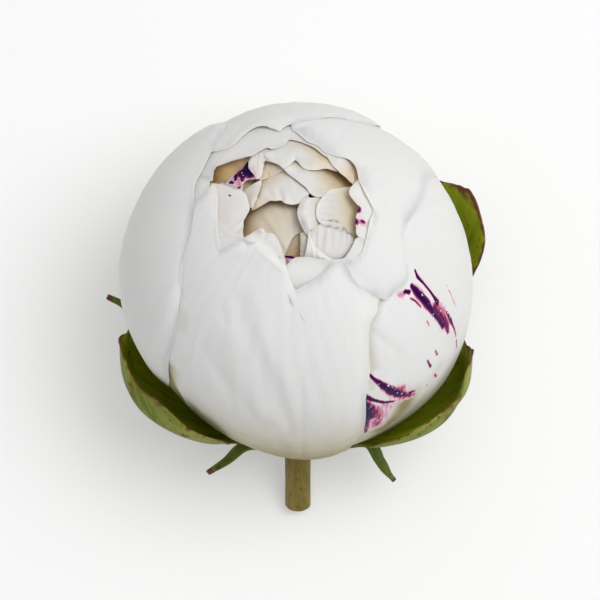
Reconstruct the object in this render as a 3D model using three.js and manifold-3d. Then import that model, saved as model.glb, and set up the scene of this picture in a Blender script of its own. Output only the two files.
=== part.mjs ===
// A cut white double peony at the soft-ball stage, lying on its back on a flat surface.
//
// The bloom is a ball of petals 80 mm across. Five broad guard petals wrap it, each with its right edge over
// the next one's left edge. Five second petals lie inside them, and a heart of crumpled petals shows in the
// opening. Five green sepals and three narrow bracts spread from the swollen top of a short cut stem.
//
// Every piece is worked out in the bloom's own frame: origin at the ball's centre, +Z up the stem's line,
// -Y the bloom's face. One last turn and lift lays the flower down, on the sepal behind it and the end of
// the stem.
// Millimetres and degrees throughout.

import * as THREE from "three";
import { mergeVertices } from "three/addons/utils/BufferGeometryUtils.js";
import Module from "manifold-3d";

const wasm = await Module();
wasm.setup();

// ---- Driving dimensions ----

const GUARD_UNDER = 38.4; // radius of a guard petal's middle surface where another lies over it
const GUARD_OVER = 39.8; // and where it lies over another
const SECOND_LEVEL = 34.8; // the same for the second petals, at each one's left edge
const OVERLAP_STEP = 1.3; // rise from a second petal to the one that lies over it
const RIGHT_TUCK = 1.1; // how far the right guard petal's rim is pushed in by the two that lie over it
const PETAL_PITCH = 72; // five petals to a ring
const PETAL_THICKNESS = 0.6;
const SEPAL_THICKNESS = 1.1;
const BRACT_THICKNESS = 1.2;
const SECOND_REACH = 45; // half the azimuth that a second petal spans
const PETAL_FOOT = 10.5; // angle from the base of a guard petal's foot, on the receptacle
const SECOND_FOOT = 13.5; // the same for a second petal
const SEPAL_FOOT = 8.5; // and for a sepal

const OPENING_LEAN = 33; // the opening leans this far from the stem's line, toward the face
const LEAN_FROM = 10; // the lean grows between these two angles from the base
const LEAN_TO = 170;
const WAIST = 0.038; // share by which the ball tapers toward its base
const WAIST_SIDE = 0.02; // how much more it tapers on the left than on the right
const WAIST_ANGLE = 60; // angle from the base where the taper is deepest
const WAIST_SPREAD = 26;

const STEM_RADIUS = 3;
const STEM_END = 60; // ball's centre to the cut
const NECK_RADIUS = 5.6; // the receptacle, which the petals' claws stand round
const NECK_TOP = 32; // ball's centre to the receptacle's top
const NECK_FOOT = 42.6; // ball's centre to where the stem has swollen to the receptacle
const SEAT_GAP = 0.35;
const CORE_RADIUS = 15;

const LIFT = 43.1; // height of the ball's centre over the surface, which presses the back sepal flat

const RAD = Math.PI / 180;

// ---- Small helpers ----

const clamp01 = (x) => Math.min(1, Math.max(0, x));
const smooth = (x) => clamp01(x) ** 2 * (3 - 2 * clamp01(x));

// A smooth curve through [x, y] points, as y for any x, level beyond its ends.
function through(points) {
  const slopes = points.map((_, i) => {
    const [x0, y0] = points[Math.max(0, i - 1)];
    const [x1, y1] = points[Math.min(points.length - 1, i + 1)];
    return (y1 - y0) / (x1 - x0);
  });
  return (x) => {
    const last = points.length - 1;
    if (x <= points[0][0]) return points[0][1];
    if (x >= points[last][0]) return points[last][1];
    const i = points.findIndex(([x1]) => x < x1) - 1;
    const [[x0, y0], [x1, y1]] = [points[i], points[i + 1]];
    const t = (x - x0) / (x1 - x0);
    const bend = t * (1 - t) * (x1 - x0);
    return y0 + (y1 - y0) * smooth(t) + bend * ((1 - t) * slopes[i] - t * slopes[i + 1]);
  };
}

// A smooth curve through values that are evenly spaced over 0..1.
const along = (values) => through(values.map((value, i) => [i / (values.length - 1), value]));

// ---- The ball that the petals lie on ----

function waist(theta, phi) {
  const depth = WAIST - WAIST_SIDE * Math.sin(phi * RAD);
  return 1 - depth * Math.exp(-(((theta - WAIST_ANGLE) / WAIST_SPREAD) ** 2));
}

// theta runs from 0 at the base to 180 at the middle of the opening. phi is 0 at the face, 90 at its right.
function onBall(theta, phi, radius, lean = OPENING_LEAN) {
  const t = theta * RAD;
  const p = phi * RAD;
  const r = radius * waist(theta, phi);
  const point = new THREE.Vector3(
    Math.sin(t) * Math.sin(p),
    -Math.sin(t) * Math.cos(p),
    -Math.cos(t),
  ).multiplyScalar(r);
  const turn = lean * smooth((theta - LEAN_FROM) / (LEAN_TO - LEAN_FROM));
  return point.applyAxisAngle(new THREE.Vector3(1, 0, 0), turn * RAD);
}

// ---- A closed blade from a grid of points on its two faces ----

// face(u, v, side) gives a point for u and v in 0..1, with side 1 on the outer face and -1 on the inner one.
// Both faces are split into triangles alike.
function blade(face, across, length) {
  const positions = [];
  const index = [];
  const columns = across + 1;
  const perFace = columns * (length + 1);
  for (const side of [1, -1])
    for (let j = 0; j <= length; j++)
      for (let i = 0; i <= across; i++)
        positions.push(...face(i / across, j / length, side).toArray());
  const at = (i, j, side) => (side < 0 ? perFace : 0) + j * columns + i;
  const quad = (a, b, c, d) => index.push(a, b, c, a, c, d);
  for (let j = 0; j < length; j++)
    for (let i = 0; i < across; i++) {
      quad(at(i, j, 1), at(i + 1, j, 1), at(i + 1, j + 1, 1), at(i, j + 1, 1));
      index.push(at(i, j, -1), at(i + 1, j + 1, -1), at(i + 1, j, -1));
      index.push(at(i, j, -1), at(i, j + 1, -1), at(i + 1, j + 1, -1));
    }
  for (let i = 0; i < across; i++) {
    quad(at(i, 0, 1), at(i, 0, -1), at(i + 1, 0, -1), at(i + 1, 0, 1));
    quad(at(i + 1, length, 1), at(i + 1, length, -1), at(i, length, -1), at(i, length, 1));
  }
  for (let j = 0; j < length; j++) {
    quad(at(0, j + 1, 1), at(0, j + 1, -1), at(0, j, -1), at(0, j, 1));
    quad(at(across, j, 1), at(across, j, -1), at(across, j + 1, -1), at(across, j + 1, 1));
  }
  const geometry = new THREE.BufferGeometry();
  geometry.setAttribute("position", new THREE.Float32BufferAttribute(positions, 3));
  geometry.setIndex(index);
  return geometry;
}

// A blade with its two faces half the thickness to each side of a middle surface.
function sheet(middle, thickness, across, length) {
  const step = 0.01;
  return blade(
    (u, v, side) => {
      const du = middle(Math.min(1, u + step), v).sub(middle(Math.max(0, u - step), v));
      const dv = middle(u, Math.min(1, v + step)).sub(middle(u, Math.max(0, v - step)));
      const normal = du.cross(dv).normalize();
      return middle(u, v).addScaledVector(normal, (side * thickness) / 2);
    },
    across,
    length,
  );
}

// ---- Petals that wrap the ball ----

// left and right give the edges as [angle from the base, azimuth], from the claw up. rim gives the rim as
// [azimuth, angle from the base], from the left to the right. level gives the radius of the middle surface.
// settle moves a point where the petal lies against something.
function wrappedPetal({
  left,
  right,
  rim,
  level,
  lean = OPENING_LEAN,
  thickness = () => PETAL_THICKNESS,
  across = 9,
  length = 11,
  settle = (point) => point,
}) {
  const leftEdge = through(left);
  const rightEdge = through(right);
  const rimAngle = through(rim);
  const rimLeft = rim[0][0];
  const rimRight = rim[rim.length - 1][0];
  const claw = left[0][0];
  return blade(
    (u, v, side) => {
      const theta = claw + v * (rimAngle(rimLeft + u * (rimRight - rimLeft)) - claw);
      const phi = leftEdge(theta) + u * (rightEdge(theta) - leftEdge(theta));
      const radius = level(phi, theta) + (side * thickness(u)) / 2;
      return settle(onBall(theta, phi, radius, lean), side);
    },
    across,
    length,
  );
}

// A level that goes from one value to another between two azimuths.
const ramp = (from, low, to, high) => (phi) => low + (high - low) * smooth((phi - from) / (to - from));

const GUARD_PETALS = {
  left: {
    left: [[PETAL_FOOT, -150], [40, -151], [80, -152], [120, -151], [132, -150]],
    right: [[PETAL_FOOT, -76], [30, -58], [50, -49], [70, -44], [91, -45], [109, -43], [122, -48]],
    rim: [[-150, 132], [-142, 135], [-123, 141], [-107, 143], [-88, 144], [-68, 139], [-57, 132],
      [-48, 122]],
    level: () => GUARD_OVER + 0.1,
  },
  front: {
    left: [[PETAL_FOOT, -36], [40, -31], [62, -31], [83, -38], [97, -43], [113, -48], [127, -58], [140, -78],
      [151, -104]],
    right: [[PETAL_FOOT, 40], [40, 27], [75, 22], [96, 21], [120, 25], [130, 30], [140, 36], [152, 46]],
    rim: [[-104, 150], [-86, 153], [-67, 152], [-56, 153], [-49, 161], [-40, 165], [-30, 166], [-19, 164],
      [-9, 157], [0, 150], [14, 153], [32, 156], [46, 153]],
    level: ramp(-50, GUARD_UNDER + 0.1, 15, GUARD_OVER + 0.1),
    across: 14,
    length: 14,
  },
  right: {
    left: [[PETAL_FOOT, 22], [30, 14], [60, 12], [100, 8], [140, 12]],
    right: [[PETAL_FOOT, 112], [40, 118], [80, 121], [120, 122], [134, 120]],
    rim: [[12, 138], [40, 144], [70, 146], [100, 144], [120, 132]],
    level: (phi, theta) => GUARD_UNDER - RIGHT_TUCK * smooth((theta - 112) / 22),
  },
  back_right: {
    left: [[PETAL_FOOT, 98], [30, 104], [60, 104], [110, 105], [124, 104], [133, 92], [139, 72], [145, 48],
      [152, 31]],
    right: [[PETAL_FOOT, 184], [60, 187], [120, 188], [140, 186], [150, 184]],
    rim: [[31, 152], [54, 159], [70, 160], [84, 162], [98, 164], [112, 160], [132, 156], [150, 158],
      [165, 156], [184, 146]],
    level: (phi) =>
      ramp(48, GUARD_UNDER + 0.1, 92, GUARD_OVER)(phi) + ramp(108, 0, 145, GUARD_UNDER - GUARD_OVER)(phi),
    across: 14,
    length: 17,
  },
  back_left: {
    left: [[PETAL_FOOT, 170], [40, 164], [80, 156], [110, 150], [128, 144], [136, 140]],
    right: [[PETAL_FOOT, 240], [60, 240], [110, 237], [132, 236]],
    rim: [[140, 136], [150, 137], [161, 143], [176, 149], [194, 150], [201, 146], [211, 147], [224, 142],
      [236, 132]],
    level: ramp(188, GUARD_OVER, 215, GUARD_UNDER + 0.1),
    across: 11,
  },
};

// The level of a petal whose right edge lies over the next petal's left one.
const slope = (middle, low) => (phi) =>
  low + (OVERLAP_STEP * (phi - middle + PETAL_PITCH / 2)) / PETAL_PITCH;

// The second petals, by the azimuths of their middles, with their rims' angles from left to right.
const SECOND_PETALS = [
  { middle: -118, rim: [155, 158, 152, 151, 150] },
  { middle: -46, rim: [150, 156, 160, 158, 157] },
  { middle: 26, rim: [156, 159, 160, 157, 158] },
  { middle: 98, rim: [158, 161, 163, 158, 155] },
  { middle: 170, rim: [155, 160, 158, 160, 156] },
];

const RIM_REACH = SECOND_REACH - 8;

function secondPetal({ middle, rim }) {
  const reaches = [
    [SECOND_FOOT, SECOND_REACH - 21],
    [50, SECOND_REACH - 3],
    [80, SECOND_REACH],
    [130, SECOND_REACH],
    [155, RIM_REACH],
  ];
  const edge = (side) => reaches.map(([theta, reach]) => [theta, middle + side * reach]);
  return wrappedPetal({
    left: edge(-1),
    right: edge(1),
    rim: rim.map((theta, i) => [middle + RIM_REACH * ((2 * i) / (rim.length - 1) - 1), theta]),
    level: slope(middle, SECOND_LEVEL),
    across: 8,
    length: 10,
  });
}

// ---- The heart: a core and the crumpled petals that stand out of it ----

const SHARPEST_BEND = 7; // least radius that a heart petal bends to
const RIM_ROUND = 0.045; // how much a heart petal's rim falls away to its sides, per mm

// A spoon-shaped petal. path is its midline, as distance from the opening's axis and height over the ball's
// centre. It bends round that axis, and its rim is waved.
function spoonPetal({ turn, path, width, wave, lobes, phase }) {
  const midline = new THREE.CatmullRomCurve3(path.map(([out, up]) => new THREE.Vector3(out, 0, up)));
  const halfWidth = along(width);
  return sheet(
    (u, v) => {
      const s = 2 * u - 1;
      const middle = midline.getPoint(v);
      const bend = Math.max(Math.abs(middle.x), SHARPEST_BEND);
      const reach = (s * halfWidth(v)) / bend;
      const ripple = wave * v ** 3 * Math.sin(lobes * s * Math.PI + phase);
      const out = middle.x - bend * (1 - Math.cos(reach)) + ripple;
      const up = middle.z - RIM_ROUND * (s * halfWidth(v)) ** 2 * v ** 2 + 0.4 * ripple;
      return new THREE.Vector3(bend * Math.sin(reach), -out, up)
        .applyAxisAngle(new THREE.Vector3(0, 0, 1), turn * RAD)
        .applyAxisAngle(new THREE.Vector3(1, 0, 0), OPENING_LEAN * RAD);
    },
    PETAL_THICKNESS,
    5,
    7,
  );
}

const OUTER_SPOON = {
  path: [[8, -4], [17, 8], [17.6, 20], [12, 30.2], [9, 34.4], [5, 36.4]],
  width: [5, 12, 14, 12, 10, 6],
  wave: 0.9,
  lobes: 1.5,
};
const MIDDLE_SPOON = {
  path: [[4, -2], [11, 10], [12, 22], [8.6, 31], [6, 34.5], [1.5, 35.5]],
  width: [4, 9, 11, 10, 8, 5],
  wave: 0.9,
  lobes: 1.2,
};
const INNER_SPOON = {
  path: [[2, 0], [5, 10], [6, 20], [4.4, 28.5], [1, 31.5]],
  width: [3, 6, 7, 6, 4],
  wave: 0.7,
  lobes: 1,
};

function solidOf(geometry) {
  const bare = geometry.clone();
  bare.deleteAttribute("normal");
  bare.deleteAttribute("uv");
  const merged = mergeVertices(bare, 1e-4);
  return new wasm.Manifold(
    new wasm.Mesh({
      numProp: 3,
      vertProperties: merged.attributes.position.array,
      triVerts: new Uint32Array(merged.index.array),
    }),
  );
}

// The largest body of a solid, without loose scraps and without the hollows that joining sealed.
function largest(solid) {
  return solid.decompose().reduce((best, body) => (body.volume() > best.volume() ? body : best));
}

function geometryOf(solid) {
  const mesh = solid.getMesh();
  const geometry = new THREE.BufferGeometry();
  geometry.setAttribute("position", new THREE.BufferAttribute(mesh.vertProperties, 3));
  geometry.setIndex(new THREE.BufferAttribute(mesh.triVerts, 1));
  return geometry;
}

// Turns a profile of [radius, height] points round the stem's line.
function turned(profile, sides) {
  const points = profile.map(([radius, height]) => new THREE.Vector2(radius, height));
  return new THREE.LatheGeometry(points, sides).rotateX(Math.PI / 2);
}

function heart() {
  const core = turned(
    [
      [0, -NECK_TOP + SEAT_GAP],
      [NECK_RADIUS - 0.6, -NECK_TOP + SEAT_GAP],
      [NECK_RADIUS, -26],
      [CORE_RADIUS * 0.85, -14],
      [CORE_RADIUS, -3],
      [CORE_RADIUS * 0.8, 8],
      [0, 14],
    ],
    14,
  );
  let solid = solidOf(core);
  const rings = [
    { spoon: OUTER_SPOON, turns: [15, 75, 125, 170, 235, 300] },
    { spoon: MIDDLE_SPOON, turns: [40, 90, 150, 215, 318] },
    { spoon: INNER_SPOON, turns: [70, 190, 310] },
  ];
  for (const { spoon, turns } of rings)
    turns.forEach((turn, i) => {
      solid = solid.add(solidOf(spoonPetal({ ...spoon, turn, phase: 1.7 * i })));
    });
  return geometryOf(largest(solid));
}

// ---- Sepals and bracts ----

const SEPAL_THINNING = 0.3; // share of its thickness that a sepal loses at its edges

// A concave green sepal. Its edges and rim are given as a petal's are, and level is its middle surface's
// radius from its foot to its rim. The pressed one lies on the surface, which flattens it.
function sepal({ left, right, rim, level, pressed = false }) {
  const top = Math.max(...rim.map(([, theta]) => theta));
  const radius = along(level);
  return wrappedPetal({
    left,
    right,
    rim,
    level: (phi, theta) => radius((theta - SEPAL_FOOT) / (top - SEPAL_FOOT)) / waist(theta, phi),
    lean: 0,
    thickness: (u) => SEPAL_THICKNESS * (1 - SEPAL_THINNING * (2 * u - 1) ** 2),
    across: 8,
    length: 9,
    settle: (point, side) => (pressed ? raised(point, side > 0 ? 0 : SEPAL_THICKNESS) : point),
  });
}

// Keeps a point of the lying flower at or above a height over the surface.
function raised(point, height) {
  const lying = point.clone().applyMatrix4(LAID);
  lying.z = Math.max(lying.z, height);
  return lying.applyMatrix4(LAID.clone().invert());
}

const BRACT_THINNING = 0.45; // share of its thickness that a bract loses at its edges
const BRACT_CURL = 0.5; // how far its edges curl up

// A narrow bract along a curve, wide at its foot and pointed at its tip.
function bract({ route, width, facing }) {
  const curve = new THREE.CatmullRomCurve3(route.map((point) => new THREE.Vector3(...point)));
  const halfWidth = along(width);
  const side = new THREE.Vector3(...facing);
  return blade(
    (u, v, face) => {
      const tangent = curve.getTangent(v);
      const across = new THREE.Vector3().crossVectors(tangent, side).normalize();
      const normal = new THREE.Vector3().crossVectors(across, tangent).normalize();
      const s = 2 * u - 1;
      const depth = (BRACT_THICKNESS / 2) * (1 - BRACT_THINNING * s * s);
      return curve
        .getPoint(v)
        .addScaledVector(across, s * halfWidth(v))
        .addScaledVector(normal, face * depth + BRACT_CURL * s * s);
    },
    3,
    10,
  );
}

// ---- The stem and the receptacle on its top, which grew as one piece ----

function stem() {
  return turned(
    [
      [0, -STEM_END],
      [STEM_RADIUS * 0.96, -STEM_END],
      [STEM_RADIUS, -STEM_END + 0.6],
      [STEM_RADIUS, -NECK_FOOT - 3],
      [STEM_RADIUS * 1.15, -NECK_FOOT - 1.8],
      [STEM_RADIUS * 1.6, -NECK_FOOT - 0.8],
      [NECK_RADIUS, -NECK_FOOT],
      [NECK_RADIUS, -NECK_TOP],
      [0, -NECK_TOP],
    ],
    18,
  );
}

// ---- How the flower lies ----

// The stem's line tips until the stem's end touches the surface under the bloom.
const REST_TILT =
  Math.asin(LIFT / Math.hypot(STEM_END, STEM_RADIUS)) - Math.atan(STEM_RADIUS / STEM_END);
const LAID = new THREE.Matrix4()
  .makeTranslation(0, 0, LIFT)
  .multiply(new THREE.Matrix4().makeRotationX(REST_TILT - Math.PI / 2));

// ---- Colours ----

const finish = (color, roughness) =>
  new THREE.MeshStandardMaterial({ color, roughness, metalness: 0 });
const PETAL_WHITE = finish(0xf1efec, 0.55);
const HEART_CREAM = finish(0xeae3d8, 0.6);
const SEPAL_GREEN = finish(0x7d9152, 0.6);
const BRACT_GREEN = finish(0x4c6a2c, 0.6);
const STEM_GREEN = finish(0x7c7c46, 0.55);

// ---- The flower ----

const flower = new THREE.Group();

function piece(name, geometry, material) {
  const mesh = new THREE.Mesh(geometry, material);
  mesh.name = name;
  flower.add(mesh);
}

piece("stem", stem(), STEM_GREEN);

for (const [side, petal] of Object.entries(GUARD_PETALS))
  piece("guard_petal_" + side, wrappedPetal(petal), PETAL_WHITE);

SECOND_PETALS.forEach((petal, i) => piece("second_petal_" + (i + 1), secondPetal(petal), PETAL_WHITE));

piece("heart", heart(), HEART_CREAM);

const SEPALS = {
  left: {
    left: [[SEPAL_FOOT, -92], [25, -104], [45, -110], [62, -110]],
    right: [[SEPAL_FOOT, -58], [25, -62], [36, -58], [50, -45], [60, -33], [66, -27]],
    rim: [[-110, 60], [-100, 68], [-85, 72], [-70, 75], [-57, 76], [-46, 75], [-36, 72], [-27, 66]],
    level: [42, 42.6, 43.3, 43.4, 42.6],
  },
  right: {
    left: [[SEPAL_FOOT, 58], [25, 64], [36, 60], [50, 46], [60, 34], [66, 28]],
    right: [[SEPAL_FOOT, 90], [25, 100], [45, 104], [60, 105]],
    rim: [[28, 65], [36, 67], [46, 69], [56, 73], [66, 73], [78, 71], [92, 67], [105, 58]],
    level: [42, 42.9, 44, 44.9, 44.4],
  },
  right_rear: {
    left: [[SEPAL_FOOT, 112], [40, 108], [60, 108], [85, 110]],
    right: [[SEPAL_FOOT, 146], [40, 152], [70, 154], [88, 152]],
    rim: [[110, 84], [113, 94], [119, 104], [128, 103], [140, 99], [152, 88]],
    level: [42, 42.6, 43.2, 44.5, 46],
  },
  back: {
    left: [[SEPAL_FOOT, 168], [30, 160], [60, 158], [78, 160]],
    right: [[SEPAL_FOOT, 216], [30, 230], [60, 233], [78, 231]],
    rim: [[160, 76], [172, 88], [186, 93], [200, 94], [216, 89], [231, 76]],
    level: [42, 42.9, 43.4, 43.5, 43],
    pressed: true,
  },
  left_rear: {
    left: [[SEPAL_FOOT, 220], [40, 210], [70, 209], [85, 212]],
    right: [[SEPAL_FOOT, 244], [40, 247], [70, 248], [82, 246]],
    rim: [[212, 82], [220, 92], [230, 96], [240, 91], [246, 80]],
    level: [41.1, 41.7, 41.9, 41.9, 41.6],
  },
};
for (const [side, form] of Object.entries(SEPALS)) piece("sepal_" + side, sepal(form), SEPAL_GREEN);

// The faces of a bract look along its facing direction.
const BRACTS = {
  left: {
    route: [[-5.3, 1.4, -44], [-16, 6, -43.4], [-30, 11, -35], [-38.4, 14.2, -24], [-41, 15.2, -17],
      [-45.2, 16.4, -13.6]],
    width: [1.8, 2.2, 2.2, 1.7, 1.2, 0.5],
    facing: [-0.9, 0.3, -0.3],
  },
  front_left: {
    route: [[-4.9, -2.6, -44], [-9, -4, -43.9], [-14, -5, -43.6], [-18.4, -6.6, -44.9], [-21.6, -8, -46.8]],
    width: [1.6, 2.2, 1.8, 1.2, 0.4],
    facing: [0, 0, -1],
  },
  front_right: {
    route: [[5.3, -1.7, -44], [11, -2.3, -43.7], [16.4, -3, -43], [20, -4.5, -46.3], [23.1, -6, -51.4]],
    width: [1.6, 2.2, 1.7, 1.2, 0.4],
    facing: [0.2, 0, -1],
  },
};
for (const [side, form] of Object.entries(BRACTS)) piece("bract_" + side, bract(form), BRACT_GREEN);

flower.applyMatrix4(LAID);

export default flower;
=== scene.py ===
# %% [markdown]
# # A cut double peony
#
# A white peony, cut with a short stem at the soft-ball stage, lies on its back. Broad guard petals wrap a
# ball 80 mm across. A heart of small crumpled petals shows in the opening. Five green sepals and three
# narrow bracts spread under the bloom.
#
# The solid model gives every piece its size and its place. This script makes each piece again with a
# finer surface: thin petals with worn rims, soft folds and crimson marks, sepals with veins and speckled
# backs, and a streaked stem.

import math

import bpy
import numpy as np
from mathutils import Matrix, Vector


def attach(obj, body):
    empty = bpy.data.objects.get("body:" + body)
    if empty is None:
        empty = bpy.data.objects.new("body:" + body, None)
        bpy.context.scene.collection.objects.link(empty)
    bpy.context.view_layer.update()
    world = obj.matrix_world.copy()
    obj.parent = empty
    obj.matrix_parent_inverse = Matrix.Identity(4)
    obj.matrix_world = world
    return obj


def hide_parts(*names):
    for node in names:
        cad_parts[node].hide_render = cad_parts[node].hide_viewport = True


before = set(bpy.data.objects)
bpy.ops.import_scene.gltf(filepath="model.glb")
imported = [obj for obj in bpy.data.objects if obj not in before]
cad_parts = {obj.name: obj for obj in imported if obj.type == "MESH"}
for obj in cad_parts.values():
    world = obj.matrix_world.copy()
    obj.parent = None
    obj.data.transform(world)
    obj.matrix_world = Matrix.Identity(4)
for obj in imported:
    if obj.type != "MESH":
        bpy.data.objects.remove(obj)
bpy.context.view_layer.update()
MM = 0.001
print("solid nodes:", len(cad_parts))

# %% [markdown]
# ## The camera
#
# The camera looks down on the lying flower, nearly square on to the surface and a little from the stem's
# side. A long lens, far off, keeps the ball round. It is made first, so that every look at a
# half-finished flower is already the right one.

# %% Camera
LIFT = 43.1  # height in mm of the ball's centre over the surface
BALL_CENTRE = Vector((0, 0, LIFT)) * MM
CAMERA_HEIGHT = math.radians(77.02)  # angle over the surface
CAMERA_DISTANCE = 0.6
VIEW_WIDTH = 0.13333  # width of the picture at the ball's centre
SENSOR_WIDTH = 36
PICTURE_SIZE = 600  # pixels
FLOWER_OFFSET = (2, -18)  # how far the picture's middle lies from the ball's, in pixels

away = Vector((0, -math.cos(CAMERA_HEIGHT), math.sin(CAMERA_HEIGHT)))
camera_data = bpy.data.cameras.new("camera")
camera_data.sensor_width = SENSOR_WIDTH
camera_data.lens = SENSOR_WIDTH * CAMERA_DISTANCE / VIEW_WIDTH
camera_data.shift_x, camera_data.shift_y = (pixels / PICTURE_SIZE for pixels in FLOWER_OFFSET)
camera_data.clip_start = 0.01
camera = bpy.data.objects.new("camera", camera_data)
camera.location = BALL_CENTRE + away * CAMERA_DISTANCE
camera.rotation_euler = away.to_track_quat("Z", "Y").to_euler()
bpy.context.scene.collection.objects.link(camera)
bpy.context.scene.camera = camera
print("lens:", round(camera_data.lens, 1), "mm")

# %% [markdown]
# ## The ball that the petals lie on
#
# A wrapped petal is a patch of a ball. Its edges are easiest to give as two angles: theta, from the foot
# of the bloom at 0 to the middle of the opening at 180, and phi round the bloom, 0 at its face and 90 at
# its right. The opening leans toward the face, and the ball tapers a little toward its foot.

# %% Curves and angles
OPENING_LEAN = 33
BALL = 39  # mean radius of the petals, in mm
STEM_END = 60  # from the ball's centre to the cut
STEM_RADIUS = 3
# The flower tips back until its cut end touches the surface.
REST_TILT = math.asin(LIFT / math.hypot(STEM_END, STEM_RADIUS)) - math.atan(STEM_RADIUS / STEM_END)
LAID = Matrix.Translation((0, 0, LIFT)) @ Matrix.Rotation(REST_TILT - math.pi / 2, 4, "X")


def smooth(x):
    """A soft step from 0 to 1."""
    x = np.clip(x, 0, 1)
    return x * x * (3 - 2 * x)


def through(points):
    """A smooth curve through [x, y, ...] points, as y for any x, level beyond its ends."""
    table = np.array(points, float)
    xs, ys = table[:, 0], table[:, 1:]
    low = np.maximum(np.arange(len(xs)) - 1, 0)
    high = np.minimum(np.arange(len(xs)) + 1, len(xs) - 1)
    slopes = (ys[high] - ys[low]) / (xs[high] - xs[low])[:, None]

    def curve(x):
        x = np.clip(np.asarray(x, float), xs[0], xs[-1])
        i = np.clip(np.searchsorted(xs, x, side="right") - 1, 0, len(xs) - 2)
        span = (xs[i + 1] - xs[i])[..., None]
        t = (x[..., None] - xs[i][..., None]) / span
        bend = t * (1 - t) * span
        y = ys[i] + (ys[i + 1] - ys[i]) * smooth(t) + bend * ((1 - t) * slopes[i] - t * slopes[i + 1])
        return y[..., 0] if ys.shape[1] == 1 else y

    return curve


def ramp(start, low, end, high):
    """A soft step over phi, from low at start to high at end."""
    return lambda phi: low + (high - low) * smooth((phi - start) / (end - start))


def waist(theta, phi):
    """How the ball tapers toward its foot, more on its left than on its right."""
    depth = 0.038 - 0.02 * np.sin(np.radians(phi))
    return 1 - depth * np.exp(-(((theta - 60) / 26) ** 2))


def on_ball(theta, phi, radius, lean=OPENING_LEAN):
    """Points in the bloom's own frame, in mm: x to its right, y to its back, z to its opening."""
    t, p = np.radians(theta), np.radians(phi)
    r = radius * waist(theta, phi)
    x = np.sin(t) * np.sin(p) * r
    y = -np.sin(t) * np.cos(p) * r
    z = -np.cos(t) * r
    a = np.radians(lean * smooth((theta - 10) / 160))
    return np.stack([x, y * np.cos(a) - z * np.sin(a), y * np.sin(a) + z * np.cos(a)], -1)


def lie_down(points):
    """Points of the bloom's own frame, in mm, as points of the lying flower, in metres."""
    m = np.array(LAID)
    return (points @ m[:3, :3].T + m[:3, 3]) * MM


# %% [markdown]
# ## A sheet of tissue
#
# Petals, sepals and bracts are all thin sheets. Each starts as a flat grid, which already has a UV map
# that runs across and along it. Its points are carried to where the real sheet lies, and Solidify gives
# it a real thickness, which runs out toward the edges. Pulling a grid into place by hand could not follow
# such outlines, so the points are moved in code.

# %% Grid and finishing helpers
def deselect():
    if bpy.context.object and bpy.context.object.mode != "OBJECT":
        bpy.ops.object.mode_set(mode="OBJECT")
    bpy.ops.object.select_all(action="DESELECT")


def only(piece):
    """Selects one object alone and makes it the active one."""
    deselect()
    piece.select_set(True)
    bpy.context.view_layer.objects.active = piece


def points_of(piece):
    co = np.zeros(len(piece.data.vertices) * 3)
    piece.data.vertices.foreach_get("co", co)
    return co.reshape(-1, 3)


def flat_grid(name, across, length):
    """A grid of that many faces, with u and v of its points."""
    deselect()
    bpy.ops.mesh.primitive_grid_add(x_subdivisions=across, y_subdivisions=length, size=1)
    piece = bpy.context.active_object
    piece.name = piece.data.name = name
    uv = points_of(piece)[:, :2] + 0.5
    columns = len(np.unique(uv[:, 0].round(6)))
    return piece, uv[:, 0].reshape(-1, columns), uv[:, 1].reshape(-1, columns)


def place(piece, points, lowest=-math.inf):
    """Moves a mesh's points to where they lie, none of them under a lowest height in metres."""
    lying = lie_down(points.reshape(-1, 3))
    lying[:, 2] = np.maximum(lying[:, 2], lowest)
    piece.data.vertices.foreach_set("co", lying.ravel())
    piece.data.update()


def paint(piece, name, values):
    """Keeps one number for each point of a mesh, for its material to read."""
    attribute = piece.data.attributes.new(name, "FLOAT", "POINT")
    attribute.data.foreach_set("value", values.ravel().astype(np.float32))


def thin_rim(piece, border, width):
    """Makes the group of points that Solidify reads its thickness from: 0 at a border, 1 inside."""
    group = piece.vertex_groups.new(name="thick")
    share = np.round(10 * smooth(border.ravel() / width)).astype(int)
    for tenth in range(11):
        group.add(np.flatnonzero(share == tenth).tolist(), tenth / 10, "REPLACE")


def apply(piece, kind, **settings):
    only(piece)
    modifier = piece.modifiers.new(kind.lower(), kind)
    for key, value in settings.items():
        setattr(modifier, key, value)
    bpy.ops.object.modifier_apply(modifier=modifier.name)


def finish(piece, materials, slot, *nodes):
    """The last steps of every piece: soft shading, materials, and what it stands for."""
    only(piece)
    bpy.ops.object.shade_smooth_by_angle(angle=math.radians(50))
    if not piece.data.materials:
        for material in materials:
            piece.data.materials.append(material)
    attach(piece, "root")
    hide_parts(*nodes)


# %% [markdown]
# ## Materials
#
# Petal, sepal and stem are living tissue: water-filled cells under a thin waxy skin. The skin gives a
# broad soft sheen, and light enters the cells and spreads before it leaves. Colours are written as sRGB
# hex values and turned to linear by one function.

# %% Material helpers
def linear(hex_value):
    parts = [int(hex_value[i : i + 2], 16) / 255 for i in (1, 3, 5)]
    return [c / 12.92 if c <= 0.04045 else ((c + 0.055) / 1.055) ** 2.4 for c in parts] + [1]


def add(tree, kind, inputs=None, **settings):
    """Adds a shader node with its settings. An input is a value or another node's output."""
    node = tree.nodes.new("ShaderNode" + kind)
    for key, value in settings.items():
        setattr(node, key, value)
    for key, value in (inputs or {}).items():
        if isinstance(value, bpy.types.NodeSocket):
            tree.links.new(value, node.inputs[key])
        else:
            node.inputs[key].default_value = value
    return node


def new_material(name):
    material = bpy.data.materials.new(name)
    material.use_nodes = True
    material.node_tree.nodes.clear()
    return material, material.node_tree


def stops(node, *pairs):
    """Sets a colour ramp's stops from (position, hex or grey) pairs."""
    elements = node.color_ramp.elements
    while len(elements) < len(pairs):
        elements.new(0.5)
    for element, (position, colour) in zip(elements, pairs):
        element.position = position
        element.color = linear(colour) if isinstance(colour, str) else (colour, colour, colour, 1)


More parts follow.
